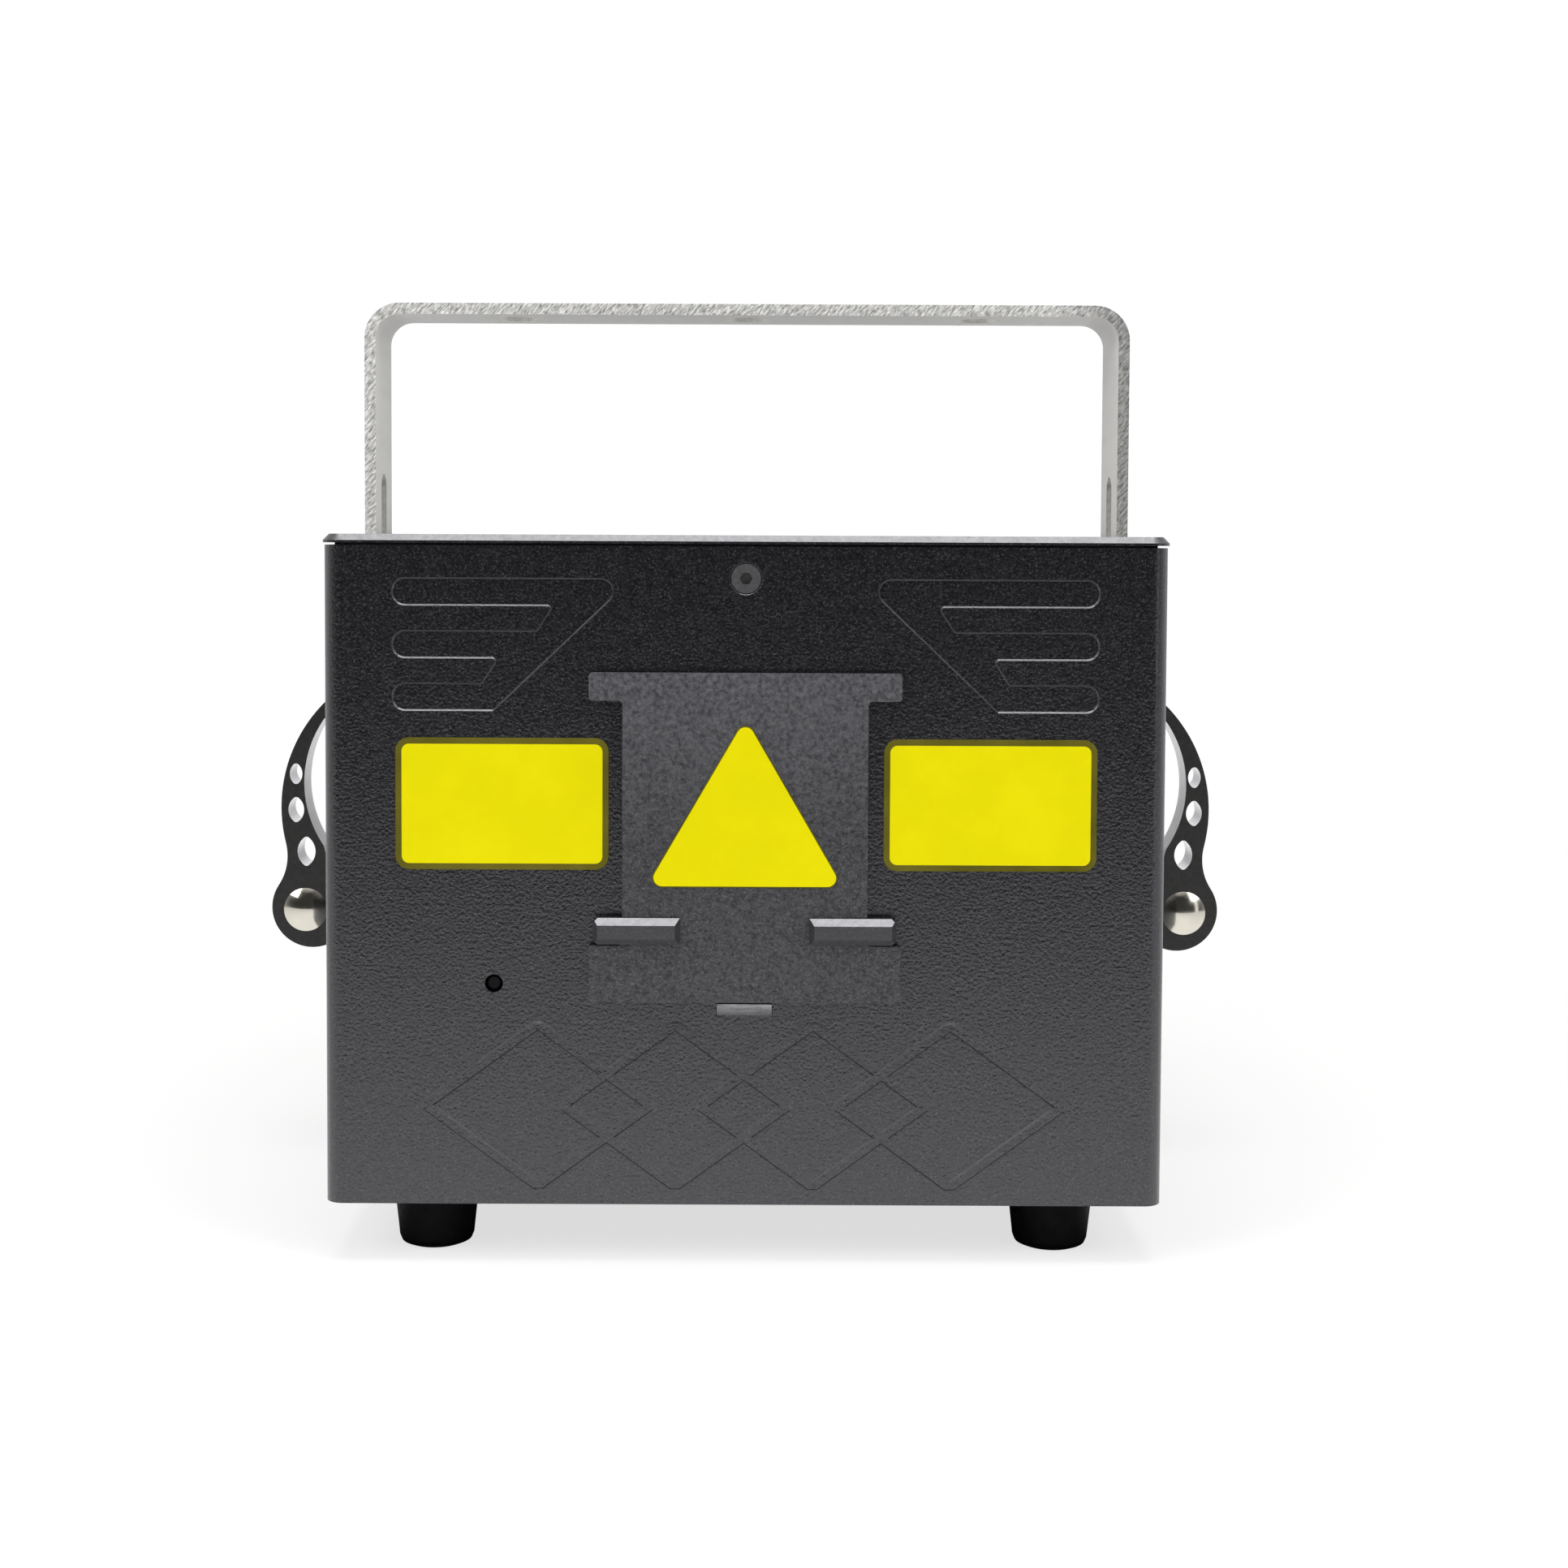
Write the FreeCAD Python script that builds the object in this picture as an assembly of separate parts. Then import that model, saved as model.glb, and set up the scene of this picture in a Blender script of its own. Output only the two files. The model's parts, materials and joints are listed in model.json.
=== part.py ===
import FreeCAD, Part
import math
import os

from FreeCAD import Vector

# Laser show projector: a sheet-metal case on rubber feet, hung in a yoke that two cam levers clamp.
# Millimetres, +Z up, front towards -Y. Origin: middle of the outline, at the level of the feet.

# Case
case_width = 230.0
case_depth = 224.0
wall_height = 180.5
foot_height = 16.5
sheet = 2.0
bend_radius = 5.0
rear_flange = 14.0
fit_gap = 0.3
running_gap = 0.05
overrun = 1.0

# Lid with a bevelled edge and a skirt inside the walls
lid_gap = 0.6
lid_edge = 0.7
lid_chamfer = 1.7
lid_overhang = 0.4
skirt_depth = 16.0
skirt_sheet = 1.5
skirt_inset = 7.0
skirt_rear_inset = 18.0

# Countersunk screws of the lid, base and rear panel
screw_radius = 2.0
screw_head_radius = 4.05
screw_sink_radius = 4.5
screw_head_sink = 0.15
screw_length = 8.0
screw_hole_gap = 0.1
socket_flats = 3.0
socket_depth = 1.4
lid_screw_drop = 11.7
side_screw_reach = 70.0
base_screw_rise = 10.0
rear_screw_margin = 8.0

# Pressed ornament of the front panel: sunk wings and raised lozenges
press_depth = 0.6
press_slope = 0.45
wing_drop = 11.7
wing_fingers = 3
wing_finger = 7.7
wing_pitch = 14.3
wing_outer = 96.1
wing_tip = 30.4
wing_spine = 14.0
wing_round = 3.6
wing_small_round = 0.8
wing_slant_share = 1.048
wing_gap_slant_share = 0.66
diamond_count = 4
diamond_pitch = 37.6
diamond_half_width = 33.2
diamond_half_height = 24.2
diamond_band = 5.0
diamond_margin = 3.2
diamond_tip_share = 0.04

# Openings of the front panel
aperture_width = 52.0
aperture_height = 42.0
aperture_drop = 69.0
aperture_round = 3.0
led_x = -68.4
led_drop = 122.5
led_hole_radius = 2.5
ledge_half = 7.5
ledge_drop = 127.8
ledge_height = 3.3
ledge_lift = 0.9
ledge_slit = 0.15

# Side vents
vent_count = 9
vent_pitch = 7.5
vent_width = 3.0
vent_length = 40.0
vent_first = 32.0
vent_rise = 62.0

# Base plate
base_recess = 1.0
base_flange = 18.0
base_flange_half = 88.0
base_gap = 0.1

# Feet
foot_top_radius = 12.2
foot_bottom_radius = 10.5
foot_edge = 2.0
foot_edge_share = 0.3
foot_x = 87.0
foot_setback = 21.0
foot_recess_radius = 5.2
foot_recess_depth = 8.0
foot_head_radius = 4.0
foot_head_height = 2.6
foot_screw_reach = 4.0

# Beam shutter and its guide bars
shutter_sheet = 1.5
shutter_standoff = 1.1
shutter_drop = 37.2
shutter_length = 89.8
shutter_half = 42.4
shutter_neck_half = 33.3
shutter_top_bar = 7.6
shutter_bottom_bar = 15.5
shutter_corner = 1.0
shutter_notch_x = 37.0
shutter_notch_width = 2.2
shutter_notch_height = 0.45
guide_inner = 17.6
guide_outer = 41.2
guide_drop = 103.8
guide_height = 7.3
guide_proud = 5.0
guide_chamfer = 1.8
guide_end_bevel = 1.3
guide_corner = 1.3

# Aperture window and indicator lamp
window_margin = 4.0
window_glass = 3.0
window_frame_lip = 6.0
window_frame_depth = 4.0
led_radius = 2.4
led_flange_radius = 3.0
led_flange = 1.0
led_body = 6.0
led_recess = 1.0
led_bevel = 0.8

# Yoke and clamp
yoke_width = 30.0
yoke_strap = 3.5
yoke_play = 0.1
yoke_bend = 11.0
yoke_end_round = 12.0
yoke_tail = 9.0
crossbar_rise = 69.1
crossbar_hole_radius = 7.0
crossbar_hole_pitch = 74.0
slot_width = 9.5
slot_rise = 19.2
washer_thickness = 1.8
washer_radius = 15.0
clamp_drop = 121.3
stud_radius = 3.0
stud_end = 4.0
insert_radius = 5.5
insert_flange_radius = 7.5
insert_flange = 1.5
insert_length = 10.0
bush_length = 14.0
follower_radius = 12.0
saddle_depth = 1.2

# Cam levers
pivot_reach = 26.7
lever_length = 72.0
lever_thickness = 11.0
lever_hole_round = 1.2
lever_swing = 120.0
cam_radius = 13.0
cam_inward = 2.2
cam_upward = 0.8
cam_gap = 0.3
pin_radius = 7.0
pin_dome = 2.0
stud_slot_gap = 0.4
lever_neck_angle = 33.3
lever_throat_angle = 118.2
lever_outer_shares = ((0.0875, 0.3008), (-0.1458, 0.9833))
lever_inner_shares = ((-0.175, 0.942), (-0.086, 0.857), (0.003, 0.597), (-0.081, 0.29))
lever_hole_shares = ((0.04, 0.611, 0.028, 0.051), (0.04, 0.45, 0.035, 0.06), (-0.005, 0.2625, 0.04, 0.069))

# Optics plate, lasers and combiner
mirror_setback = 27.0
mirror_spacing = 12.0
beam_height = 11.0
optics_half_width = 109.0
optics_front = 18.0
optics_length = 93.0
optics_thickness = 8.0
post_flats = 10.0
post_inset = 11.0
laser_width = 26.0
laser_length = 46.0
laser_height = 27.0
laser_fins = 4
laser_fin_depth = 8.0
snout_radius = 4.0
snout_length = 4.0
red_back = 108.0
red_length = 34.0
combiner_x = (-60.0, -32.0)
combiner_throw = 20.0
mount_size = 14.0
mount_height = 6.0
filter_thickness = 1.5
filter_width = 13.0
filter_height = 17.0
filter_seat = 3.0

# Scanner
scanner_gap = 10.0
scanner_wall = 12.0
scanner_reach = 14.0
scanner_rise = 10.0
motor_radius = 5.0
motor_length = 30.0
motor_nose = 2.0
motor_cap_radius = 4.0
motor_cap = 3.0
shaft_radius = 1.5
shaft_depth = 8.0
mirror_length = 9.0
mirror_width = 9.0
mirror_thickness = 1.0
clamp_radius = 2.4
clamp_length = 3.5

# Electronics
supply_size = (90.0, 145.0, 38.0)
supply_x = -37.0
supply_y = 7.0
supply_sheet = 1.2
terminal_size = (60.0, 10.0, 14.0)
board_sheet = 1.6
board_stud_flats = 5.0
board_stud = 6.0
board_inset = 4.0
laser_board_size = (64.0, 130.0)
laser_board_place = (50.0, 5.0)
scanner_board_size = (52.0, 78.0)
scanner_board_x = 78.0
scanner_board_setback = 46.0
sink_height = 22.0
sink_width_share = 0.5
sink_length_share = 0.3
capacitor_radius = 5.0
capacitor_height = 14.0
capacitor_pitch = 14.0

# Rear panel fittings
panel_round = 2.0
fan_x = -60.0
fan_z = 147.0
fan_size = 60.0
fan_depth = 20.0
fan_bore = 28.5
fan_hole_inset = 5.0
fan_hole_radius = 2.2
fan_cup_radius = 15.0
fan_cup = 5.0
fan_strut = 3.0
fan_hub_radius = 14.0
fan_hub_depth = 11.0
fan_tip_gap = 1.0
fan_gap = 0.5
fan_shaft_radius = 1.5
fan_shaft = 4.0
blade_count = 7
blade_chord = 13.0
blade_sheet = 1.4
blade_pitch = 38.0
blade_root_sink = 1.5
guard_sheet = 1.2
guard_rings = 3
guard_ring_width = 1.6
guard_ring_pitch = 8.5
guard_spoke = 2.4
guard_tab = 8.0
guard_screw_radius = 1.9
guard_head_radius = 3.2
guard_head = 1.8
inlet_x = -62.0
inlet_z = 52.0
inlet_flange = (50.0, 24.0)
inlet_flange_sheet = 2.5
inlet_body = (30.0, 21.0)
inlet_depth = 20.0
inlet_cavity = (24.6, 16.4)
inlet_cavity_depth = 15.0
inlet_bevel = 5.0
inlet_round = 3.0
pin_size = (4.0, 2.0)
pin_reach = 10.0
pin_pitch = 7.0
pin_step = 2.0
switch_x = -62.0
switch_z = 90.0
switch_bezel = (16.0, 25.0)
switch_bezel_sheet = 2.0
switch_body = (14.0, 22.0)
switch_depth = 14.0
switch_wall = 1.4
rocker_half_height = 8.8
rocker_width = 10.4
rocker_rise = 2.6
rocker_dip = 1.3
rocker_root = 5.0
rocker_root_half = 4.0
rocker_tilt = 10.0
rocker_pivot_radius = 1.0
rocker_pivot_depth = 0.0
key_x = 75.0
key_z = 96.0
key_radius = 9.0
key_flange_radius = 11.5
key_flange = 2.5
key_depth = 22.0
key_rotor_radius = 6.0
key_rotor_depth = 18.0
key_slot = (2.2, 7.5)
key_slot_depth = 9.0
display_x = 45.0
display_z = 163.0
display_size = (44.0, 16.0)
display_bezel = 1.5
button_pitch = 14.0
button_z = 139.0
button_count = 4
button_radius = 4.0
button_proud = 2.4
button_flange_radius = 5.2
button_flange = 1.2
button_stem_width = 3.5
button_stem = 5.0
button_gap = 0.15
control_board_size = (84.0, 58.0)
control_board_z = 150.0
control_board_depth = 14.0
tact_size = 6.0
tact_gap = 1.2
socket_x = (22.0, 60.0)
socket_z = 56.0
socket_flange = (26.0, 31.0)
socket_flange_sheet = 2.0
socket_flange_round = 3.0
socket_radius = 11.5
socket_depth_in = 18.0
socket_bore = 8.4
socket_bore_depth = 15.0
contact_radius = 1.2
contact_circle = 3.6
contact_count = 3
contact_length = 11.0
contact_hole_radius = 1.4
eye_x = 8.0
eye_z = 108.0
eye_base = (26.0, 34.0)
eye_sheet = 3.0
eye_reach = 16.0
eye_half = 9.0
eye_hole_radius = 5.0

# Places that follow from the sizes above
X_AXIS = Vector(1, 0, 0)
Y_AXIS = Vector(0, 1, 0)
Z_AXIS = Vector(0, 0, 1)
side = case_width / 2
front = -case_depth / 2
back = case_depth / 2
inner_side = side - sheet
inner_front = front + sheet
shell_back = back - sheet
inner_back = shell_back - sheet
wall_bottom = foot_height
wall_top = wall_bottom + wall_height
lid_bottom = wall_top + lid_gap
lid_top = lid_bottom + lid_edge + lid_chamfer
base_bottom = wall_bottom + base_recess
base_top = base_bottom + sheet
lid_screw_z = lid_top - lid_screw_drop
base_screw_z = base_bottom + base_screw_rise
shutter_back = front - shutter_standoff
stud_z = lid_top - clamp_drop
leg_inner = side + washer_thickness + yoke_play
leg_outer = leg_inner + yoke_strap
crossbar_bottom = lid_top + crossbar_rise
crossbar_top = crossbar_bottom + yoke_strap
slot_top = lid_top + slot_rise
slot_bottom = stud_z - bush_length / 2 - fit_gap
leg_end = slot_bottom - yoke_tail
pivot_x = side + pivot_reach
cam_x = pivot_x - cam_inward
cam_z = stud_z + cam_upward
scan_y = front + mirror_setback
scan_z = lid_top - aperture_drop
beam_z = scan_z - mirror_spacing
optics_top = beam_z - beam_height
optics_bottom = optics_top - optics_thickness
scanner_board_place = (scanner_board_x, scan_y - optics_front + scanner_board_setback)
fan_front = shell_back - fan_depth
control_board_y = shell_back - control_board_depth
eye_tip = back + eye_sheet + eye_reach
depth_shift = -(eye_tip + front - guide_proud) / 2
full_turn = 360.0
right_angle = 90.0
parallel_share = 0.999


def block(x, y, z):
    """Box from a (low, high) pair along each axis."""
    return Part.makeBox(x[1] - x[0], y[1] - y[0], z[1] - z[0], Vector(x[0], y[0], z[0]))


def span(centre, size):
    """The (low, high) pair of a size about a centre."""
    return (centre - size / 2, centre + size / 2)


def rod(radius, start, end):
    """Cylinder from one point to another."""
    return Part.makeCylinder(radius, (end - start).Length, start, end - start)


def prism(points, depth):
    """Closed outline swept along a straight depth."""
    return Part.Face(Part.makePolygon(list(points) + [points[0]])).extrude(depth)


def mirrored(shape):
    """The same shape on the other side of the case."""
    return shape.mirror(Vector(), X_AXIS)


def straight_edges(shape, axis, where=None):
    """Straight edges along an axis, or those of them whose middle is where the test says."""
    found = []
    for edge in shape.Edges:
        if edge.Curve.TypeId != "Part::GeomLine":
            continue
        if abs(edge.tangentAt(edge.FirstParameter).dot(axis)) < parallel_share:
            continue
        if where is None or where(edge.CenterOfMass):
            found.append(edge)
    return found


def round_edges(shape, axis, radius, where=None):
    """Round the straight edges along an axis."""
    return shape.makeFillet(radius, straight_edges(shape, axis, where))


def stadium_x(x, y, z, width):
    """Upright slot with round ends, cut along X."""
    low = z[0] + width / 2
    high = z[1] - width / 2
    middle = block(x, span(y, width), (low, high))
    ends = [rod(width / 2, Vector(x[0], y, end), Vector(x[1], y, end)) for end in (low, high)]
    return middle.fuse(ends)


def hex_prism(centre, axis, flats, depth):
    """Hexagonal prism from a centre along one of the main axes, with two corners level."""
    level = Y_AXIS if abs(axis.x) > parallel_share else X_AXIS
    upright = axis.cross(level)
    corner = flats / math.sqrt(3)
    angles = [math.radians(full_turn * i / 6) for i in range(6)]
    points = [centre + (level * math.cos(a) + upright * math.sin(a)) * corner for a in angles]
    return prism(points, axis * depth)


def countersunk_screw(face, outward):
    """Countersunk screw with a hex socket, its head just below the face."""
    top = face - outward * screw_head_sink
    neck = top - outward * (screw_head_radius - screw_radius)
    head = Part.makeCone(screw_radius, screw_head_radius, screw_head_radius - screw_radius, neck, outward)
    shank = rod(screw_radius, face - outward * screw_length, neck)
    socket = hex_prism(top - outward * socket_depth, outward, socket_flats, socket_depth + overrun)
    return head.fuse(shank).cut(socket)


def countersink(face, outward):
    """Hole that takes a countersunk screw."""
    hole = screw_radius + screw_hole_gap
    depth = screw_sink_radius - hole
    sink = Part.makeCone(hole, screw_sink_radius + overrun, depth + overrun, face - outward * depth, outward)
    return sink.fuse(rod(hole, face - outward * (screw_length + overrun), face))


def side_places(z):
    """Screw places on the two side walls."""
    reaches = (-side_screw_reach, side_screw_reach)
    return [(Vector(s * side, y, z), X_AXIS * s) for s in (-1, 1) for y in reaches]


def lid_screw_places():
    ends = [(Vector(0, front, lid_screw_z), -Y_AXIS), (Vector(0, back, lid_screw_z), Y_AXIS)]
    return ends + side_places(lid_screw_z)


def rear_screw_places():
    x = side - bend_radius - rear_screw_margin / 2
    levels = (wall_bottom + rear_screw_margin, wall_top - rear_screw_margin)
    return [(Vector(s * x, back, z), Y_AXIS) for s in (-1, 1) for z in levels]


def screws(places):
    return [countersunk_screw(face, outward) for face, outward in places]


def sinks(places):
    return [countersink(face, outward) for face, outward in places]


def shank_holes(places):
    """Plain holes behind the countersunk sheet, for the shanks of the screws."""
    depth = screw_length + overrun
    return [rod(screw_radius + fit_gap, face - outward * depth, face) for face, outward in places]


def wing():
    """Room of three sunk fingers that spring from one slanted spine."""
    top = lid_top - wing_drop
    gap = wing_pitch - wing_finger
    points = [(wing_tip, top)]
    for i in range(wing_fingers):
        low = top - i * wing_pitch - wing_finger
        points += [(wing_outer, low + wing_finger), (wing_outer, low)]
        slant = wing_tip + (top - low) * wing_slant_share
        if i < wing_fingers - 1:
            root = slant + wing_spine
            points += [(root, low), (root + gap * wing_gap_slant_share, low - gap)]
    points.append((slant, low))
    room = prism([Vector(x, front - overrun, z) for x, z in points], Y_AXIS * (overrun + press_depth))

    def is_end(place):
        return place.x > wing_outer - fit_gap or place.x < wing_tip + fit_gap

    room = round_edges(room, Y_AXIS, wing_round, is_end)
    room = round_edges(room, Y_AXIS, wing_small_round, lambda place: not near_round_end(place))
    floor = [edge for edge in room.Edges if edge.BoundBox.YMin > front + press_depth - running_gap]
    return room.makeChamfer(press_slope, floor)


def near_round_end(place):
    """True close to the wing's round ends, whose edges are smooth already."""
    top = lid_top - wing_drop
    at_tip = place.z > top - wing_finger and place.x < wing_tip + wing_spine
    return at_tip or place.x > wing_outer - wing_finger


def clipped(corners, share):
    """Corners of an outline, each cut off by a share of its two sides."""
    if not share:
        return corners
    points = []
    for before, corner, after in zip(corners[-1:] + corners[:-1], corners, corners[1:] + corners[:1]):
        points += [corner + (before - corner) * share, corner + (after - corner) * share]
    return points


def lozenge(x, half, slope, tip_share):
    """Lozenge block through the face of the front panel, narrower outward where the slope is positive."""
    z = wall_bottom + diamond_margin + diamond_half_height
    wires = []
    for y, wide in ((front + press_depth, half + slope), (front - press_depth, half - slope)):
        rise = wide * diamond_half_height / diamond_half_width
        corners = [Vector(x + u, y, z + v) for u, v in ((-wide, 0), (0, rise), (wide, 0), (0, -rise))]
        points = clipped(corners, tip_share)
        wires.append(Part.makePolygon(points + points[:1]))
    return Part.makeLoft(wires, True, True)


def diamonds():
    """A row of interlaced lozenge bands with sloped sides and blunt tips."""
    slope = press_slope * math.hypot(diamond_half_width, diamond_half_height) / diamond_half_height
    rings = []
    for i in range(diamond_count):
        x = (i - (diamond_count - 1) / 2) * diamond_pitch
        hollow = lozenge(x, diamond_half_width - diamond_band, -slope, 0)
        rings.append(lozenge(x, diamond_half_width, slope, diamond_tip_share).cut(hollow))
    return rings


def ledge():
    """Lanced tab under the shutter, bent out of the front panel at its upper edge."""
    top = lid_top - ledge_drop
    low = top - ledge_height
    profile = [(front, low), (front - ledge_lift, top), (inner_front - ledge_lift, top), (inner_front, low)]
    return prism([Vector(-ledge_half, y, z) for y, z in profile], X_AXIS * (2 * ledge_half))


def ledge_window():
    top = lid_top - ledge_drop
    wide = span(0, 2 * (ledge_half + ledge_slit))
    return block(wide, (front - overrun, inner_front + overrun), (top - ledge_height, top + ledge_slit))


def aperture():
    depth = (front - overrun, inner_front + overrun)
    opening = block(span(0, aperture_width), depth, span(scan_z, aperture_height))
    return round_edges(opening, Y_AXIS, aperture_round)


def vents():
    """Upright slots in both side walls, behind the yoke."""
    z = (wall_bottom + vent_rise, wall_bottom + vent_rise + vent_length)
    cuts = []
    for i in range(vent_count):
        slot = block((inner_side - overrun, side + overrun), span(vent_first + i * vent_pitch, vent_width), z)
        cuts += [slot, mirrored(slot)]
    return cuts


def main_shell():
    """Front and sides bent from one sheet, with flanges at the rear."""
    height = (wall_bottom, wall_top)
    tall = (wall_bottom - overrun, wall_top + overrun)
    outer = round_edges(block((-side, side), (front, shell_back), height), Z_AXIS, bend_radius)
    hollow = block((-inner_side, inner_side), (inner_front, inner_back), tall)
    hollow = round_edges(hollow, Z_AXIS, bend_radius - sheet)
    mouth_x = span(0, 2 * (side - rear_flange))
    mouth = block(mouth_x, (inner_back - overrun, shell_back + overrun), tall)
    body = outer.cut([hollow, mouth]).fuse(diamonds())
    led_hole = led_bar(led_hole_radius, front - overrun, inner_front + overrun)
    holes = [wing(), mirrored(wing()), aperture(), ledge_window(), led_hole] + vents()
    holes += sinks(lid_screw_places()) + sinks(side_places(base_screw_z)) + shank_holes(rear_screw_places())
    reach = side + overrun
    holes.append(rod(insert_radius, Vector(-reach, 0, stud_z), Vector(reach, 0, stud_z)))
    return body.cut(holes).fuse(ledge()).removeSplitter()


def lid():
    """Plate with a bevelled edge over the walls and a skirt inside them."""
    x = side + lid_overhang
    plate = block((-x, x), (front - lid_overhang, back + lid_overhang), (lid_bottom, lid_top))
    plate = round_edges(plate, Z_AXIS, bend_radius)
    rim = [edge for edge in plate.Edges if edge.BoundBox.ZMin > lid_top - fit_gap]
    plate = plate.makeChamfer(lid_chamfer, rim)
    z = (lid_bottom - skirt_depth, lid_bottom + lid_edge / 2)
    outer_x = inner_side - fit_gap
    outer_y = inner_front + fit_gap
    rear_y = shell_back - fit_gap
    rear_x = side - skirt_rear_inset
    long_y = (front + skirt_inset, inner_back - skirt_inset)
    skirt = [block((skirt_inset - side, side - skirt_inset), (outer_y, outer_y + skirt_sheet), z)]
    skirt.append(block((-rear_x, rear_x), (rear_y - skirt_sheet, rear_y), z))
    flank = block((outer_x - skirt_sheet, outer_x), long_y, z)
    skirt += [flank, mirrored(flank)]
    return plate.fuse(skirt).cut(shank_holes(lid_screw_places())).removeSplitter()


def base_plate():
    """Floor of the case, with an upturned flange on each side."""
    x = inner_side - base_gap
    y = (inner_front + base_gap, inner_back - base_gap)
    plate = round_edges(block((-x, x), y, (base_bottom, base_top)), Z_AXIS, bend_radius - sheet)
    flange = block((x - sheet, x), span(0, 2 * base_flange_half), (base_bottom, base_bottom + base_flange))
    holes = at_feet(rod(screw_radius + screw_hole_gap, Vector(), Vector(0, 0, lid_top)))
    body = plate.fuse([flange, mirrored(flange)])
    return body.cut(holes + shank_holes(side_places(base_screw_z))).removeSplitter()


def foot_places():
    y = back - foot_setback
    return [(sx * foot_x, sy * y) for sx in (-1, 1) for sy in (-1, 1)]


def foot():
    """Tapered rubber foot with a recess for its screw."""
    hole = screw_radius + screw_hole_gap
    outline = [(hole, foot_recess_depth), (foot_recess_radius, foot_recess_depth), (foot_recess_radius, 0)]
    inset = foot_edge * foot_edge_share
    outline += [(foot_bottom_radius - foot_edge, 0), (foot_bottom_radius - inset, inset)]
    outline += [(foot_bottom_radius, foot_edge), (foot_top_radius, base_bottom), (hole, base_bottom)]
    points = [Vector(r, 0, z) for r, z in outline]
    return Part.Face(Part.makePolygon(points + points[:1])).revolve(Vector(), Z_AXIS, full_turn)


def foot_screw():
    seat = foot_recess_depth
    head = rod(foot_head_radius, Vector(0, 0, seat - foot_head_height), Vector(0, 0, seat))
    shank = rod(screw_radius, Vector(0, 0, seat), Vector(0, 0, base_top + foot_screw_reach))
    start = Vector(0, 0, seat - foot_head_height - overrun)
    return head.fuse(shank).cut(hex_prism(start, Z_AXIS, socket_flats, socket_depth + overrun))


def at_feet(shape):
    return [shape.translated(Vector(x, y, 0)) for x, y in foot_places()]


def shutter_plate():
    """Plate that covers the aperture: a wide bar above and below a narrower neck, with two small notches."""
    top = lid_top - shutter_drop
    bottom = top - shutter_length
    shoulders = (top - shutter_top_bar, bottom + shutter_bottom_bar)
    right = [(shutter_half, top), (shutter_half, shoulders[0]), (shutter_neck_half, shoulders[0])]
    right += [(shutter_neck_half, shoulders[1]), (shutter_half, shoulders[1]), (shutter_half, bottom)]
    outline = right + [(-x, z) for x, z in reversed(right)]
    plate = prism([Vector(x, shutter_back, z) for x, z in outline], Vector(0, -shutter_sheet, 0))
    depth = (shutter_back - shutter_sheet - overrun, shutter_back + overrun)
    room = (bottom - overrun, bottom + shutter_notch_height)
    notch = block(span(shutter_notch_x, shutter_notch_width), depth, room)
    return round_edges(plate, Y_AXIS, shutter_corner).cut([notch, mirrored(notch)])


def shutter_guide():
    """Bevelled bar with two clipped corners, which overhangs the shutter's neck."""
    top = lid_top - guide_drop
    low = top - guide_height
    face = front - guide_proud
    step = face + guide_chamfer
    profile = [(front, low), (step, low), (face, low + guide_chamfer), (face, top - guide_chamfer)]
    profile += [(step, top), (front, top)]
    bar = prism([Vector(guide_inner, y, z) for y, z in profile], X_AXIS * (guide_outer - guide_inner))
    plan = [(guide_inner, front), (guide_inner, step), (guide_inner + guide_end_bevel, face)]
    plan += [(guide_outer - guide_end_bevel, face), (guide_outer, step), (guide_outer, front)]
    bar = bar.common(prism([Vector(x, y, low) for x, y in plan], Z_AXIS * guide_height))
    outline = [(guide_inner, low), (guide_outer - guide_corner, low), (guide_outer, low + guide_corner)]
    outline += [(guide_outer, top - guide_corner), (guide_outer - guide_corner, top), (guide_inner, top)]
    bar = bar.common(prism([Vector(x, face, z) for x, z in outline], Y_AXIS * guide_proud))
    channel = shutter_standoff + shutter_sheet + fit_gap
    room = (guide_inner - overrun, shutter_neck_half + fit_gap)
    return bar.cut(block(room, (front - channel, front + overrun), (low - overrun, top + overrun)))


def aperture_window():
    width = aperture_width + 2 * window_margin
    height = aperture_height + 2 * window_margin
    return block(span(0, width), (inner_front, inner_front + window_glass), span(scan_z, height))


def window_frame():
    """Retainer that holds the glass against the front panel."""
    width = aperture_width + 2 * (window_margin + window_frame_lip)
    height = aperture_height + 2 * (window_margin + window_frame_lip)
    depth = (inner_front, inner_front + window_frame_depth)
    body = round_edges(block(span(0, width), depth, span(scan_z, height)), Y_AXIS, aperture_round)
    pocket_size = [size + 2 * (window_margin + running_gap) for size in (aperture_width, aperture_height)]
    pocket_depth = (inner_front - overrun, inner_front + window_glass)
    pocket = block(span(0, pocket_size[0]), pocket_depth, span(scan_z, pocket_size[1]))
    opening = block(span(0, aperture_width), (inner_front, depth[1] + overrun), span(scan_z, aperture_height))
    return body.cut([pocket, opening])


def led_bar(radius, low, high):
    """Round bar on the axis of the indicator lamp."""
    z = lid_top - led_drop
    return rod(radius, Vector(led_x, low, z), Vector(led_x, high, z))


def emission_led():
    """Indicator lamp with a bevelled tip, just inside the panel's face."""
    tip = front + led_recess
    body = led_bar(led_radius, tip, inner_front + led_body)
    rim = [edge for edge in body.Edges if edge.BoundBox.YMax < tip + running_gap]
    body = body.makeChamfer(led_bevel, rim)
    return body.fuse(led_bar(led_flange_radius, inner_front, inner_front + led_flange)).removeSplitter()


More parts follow.
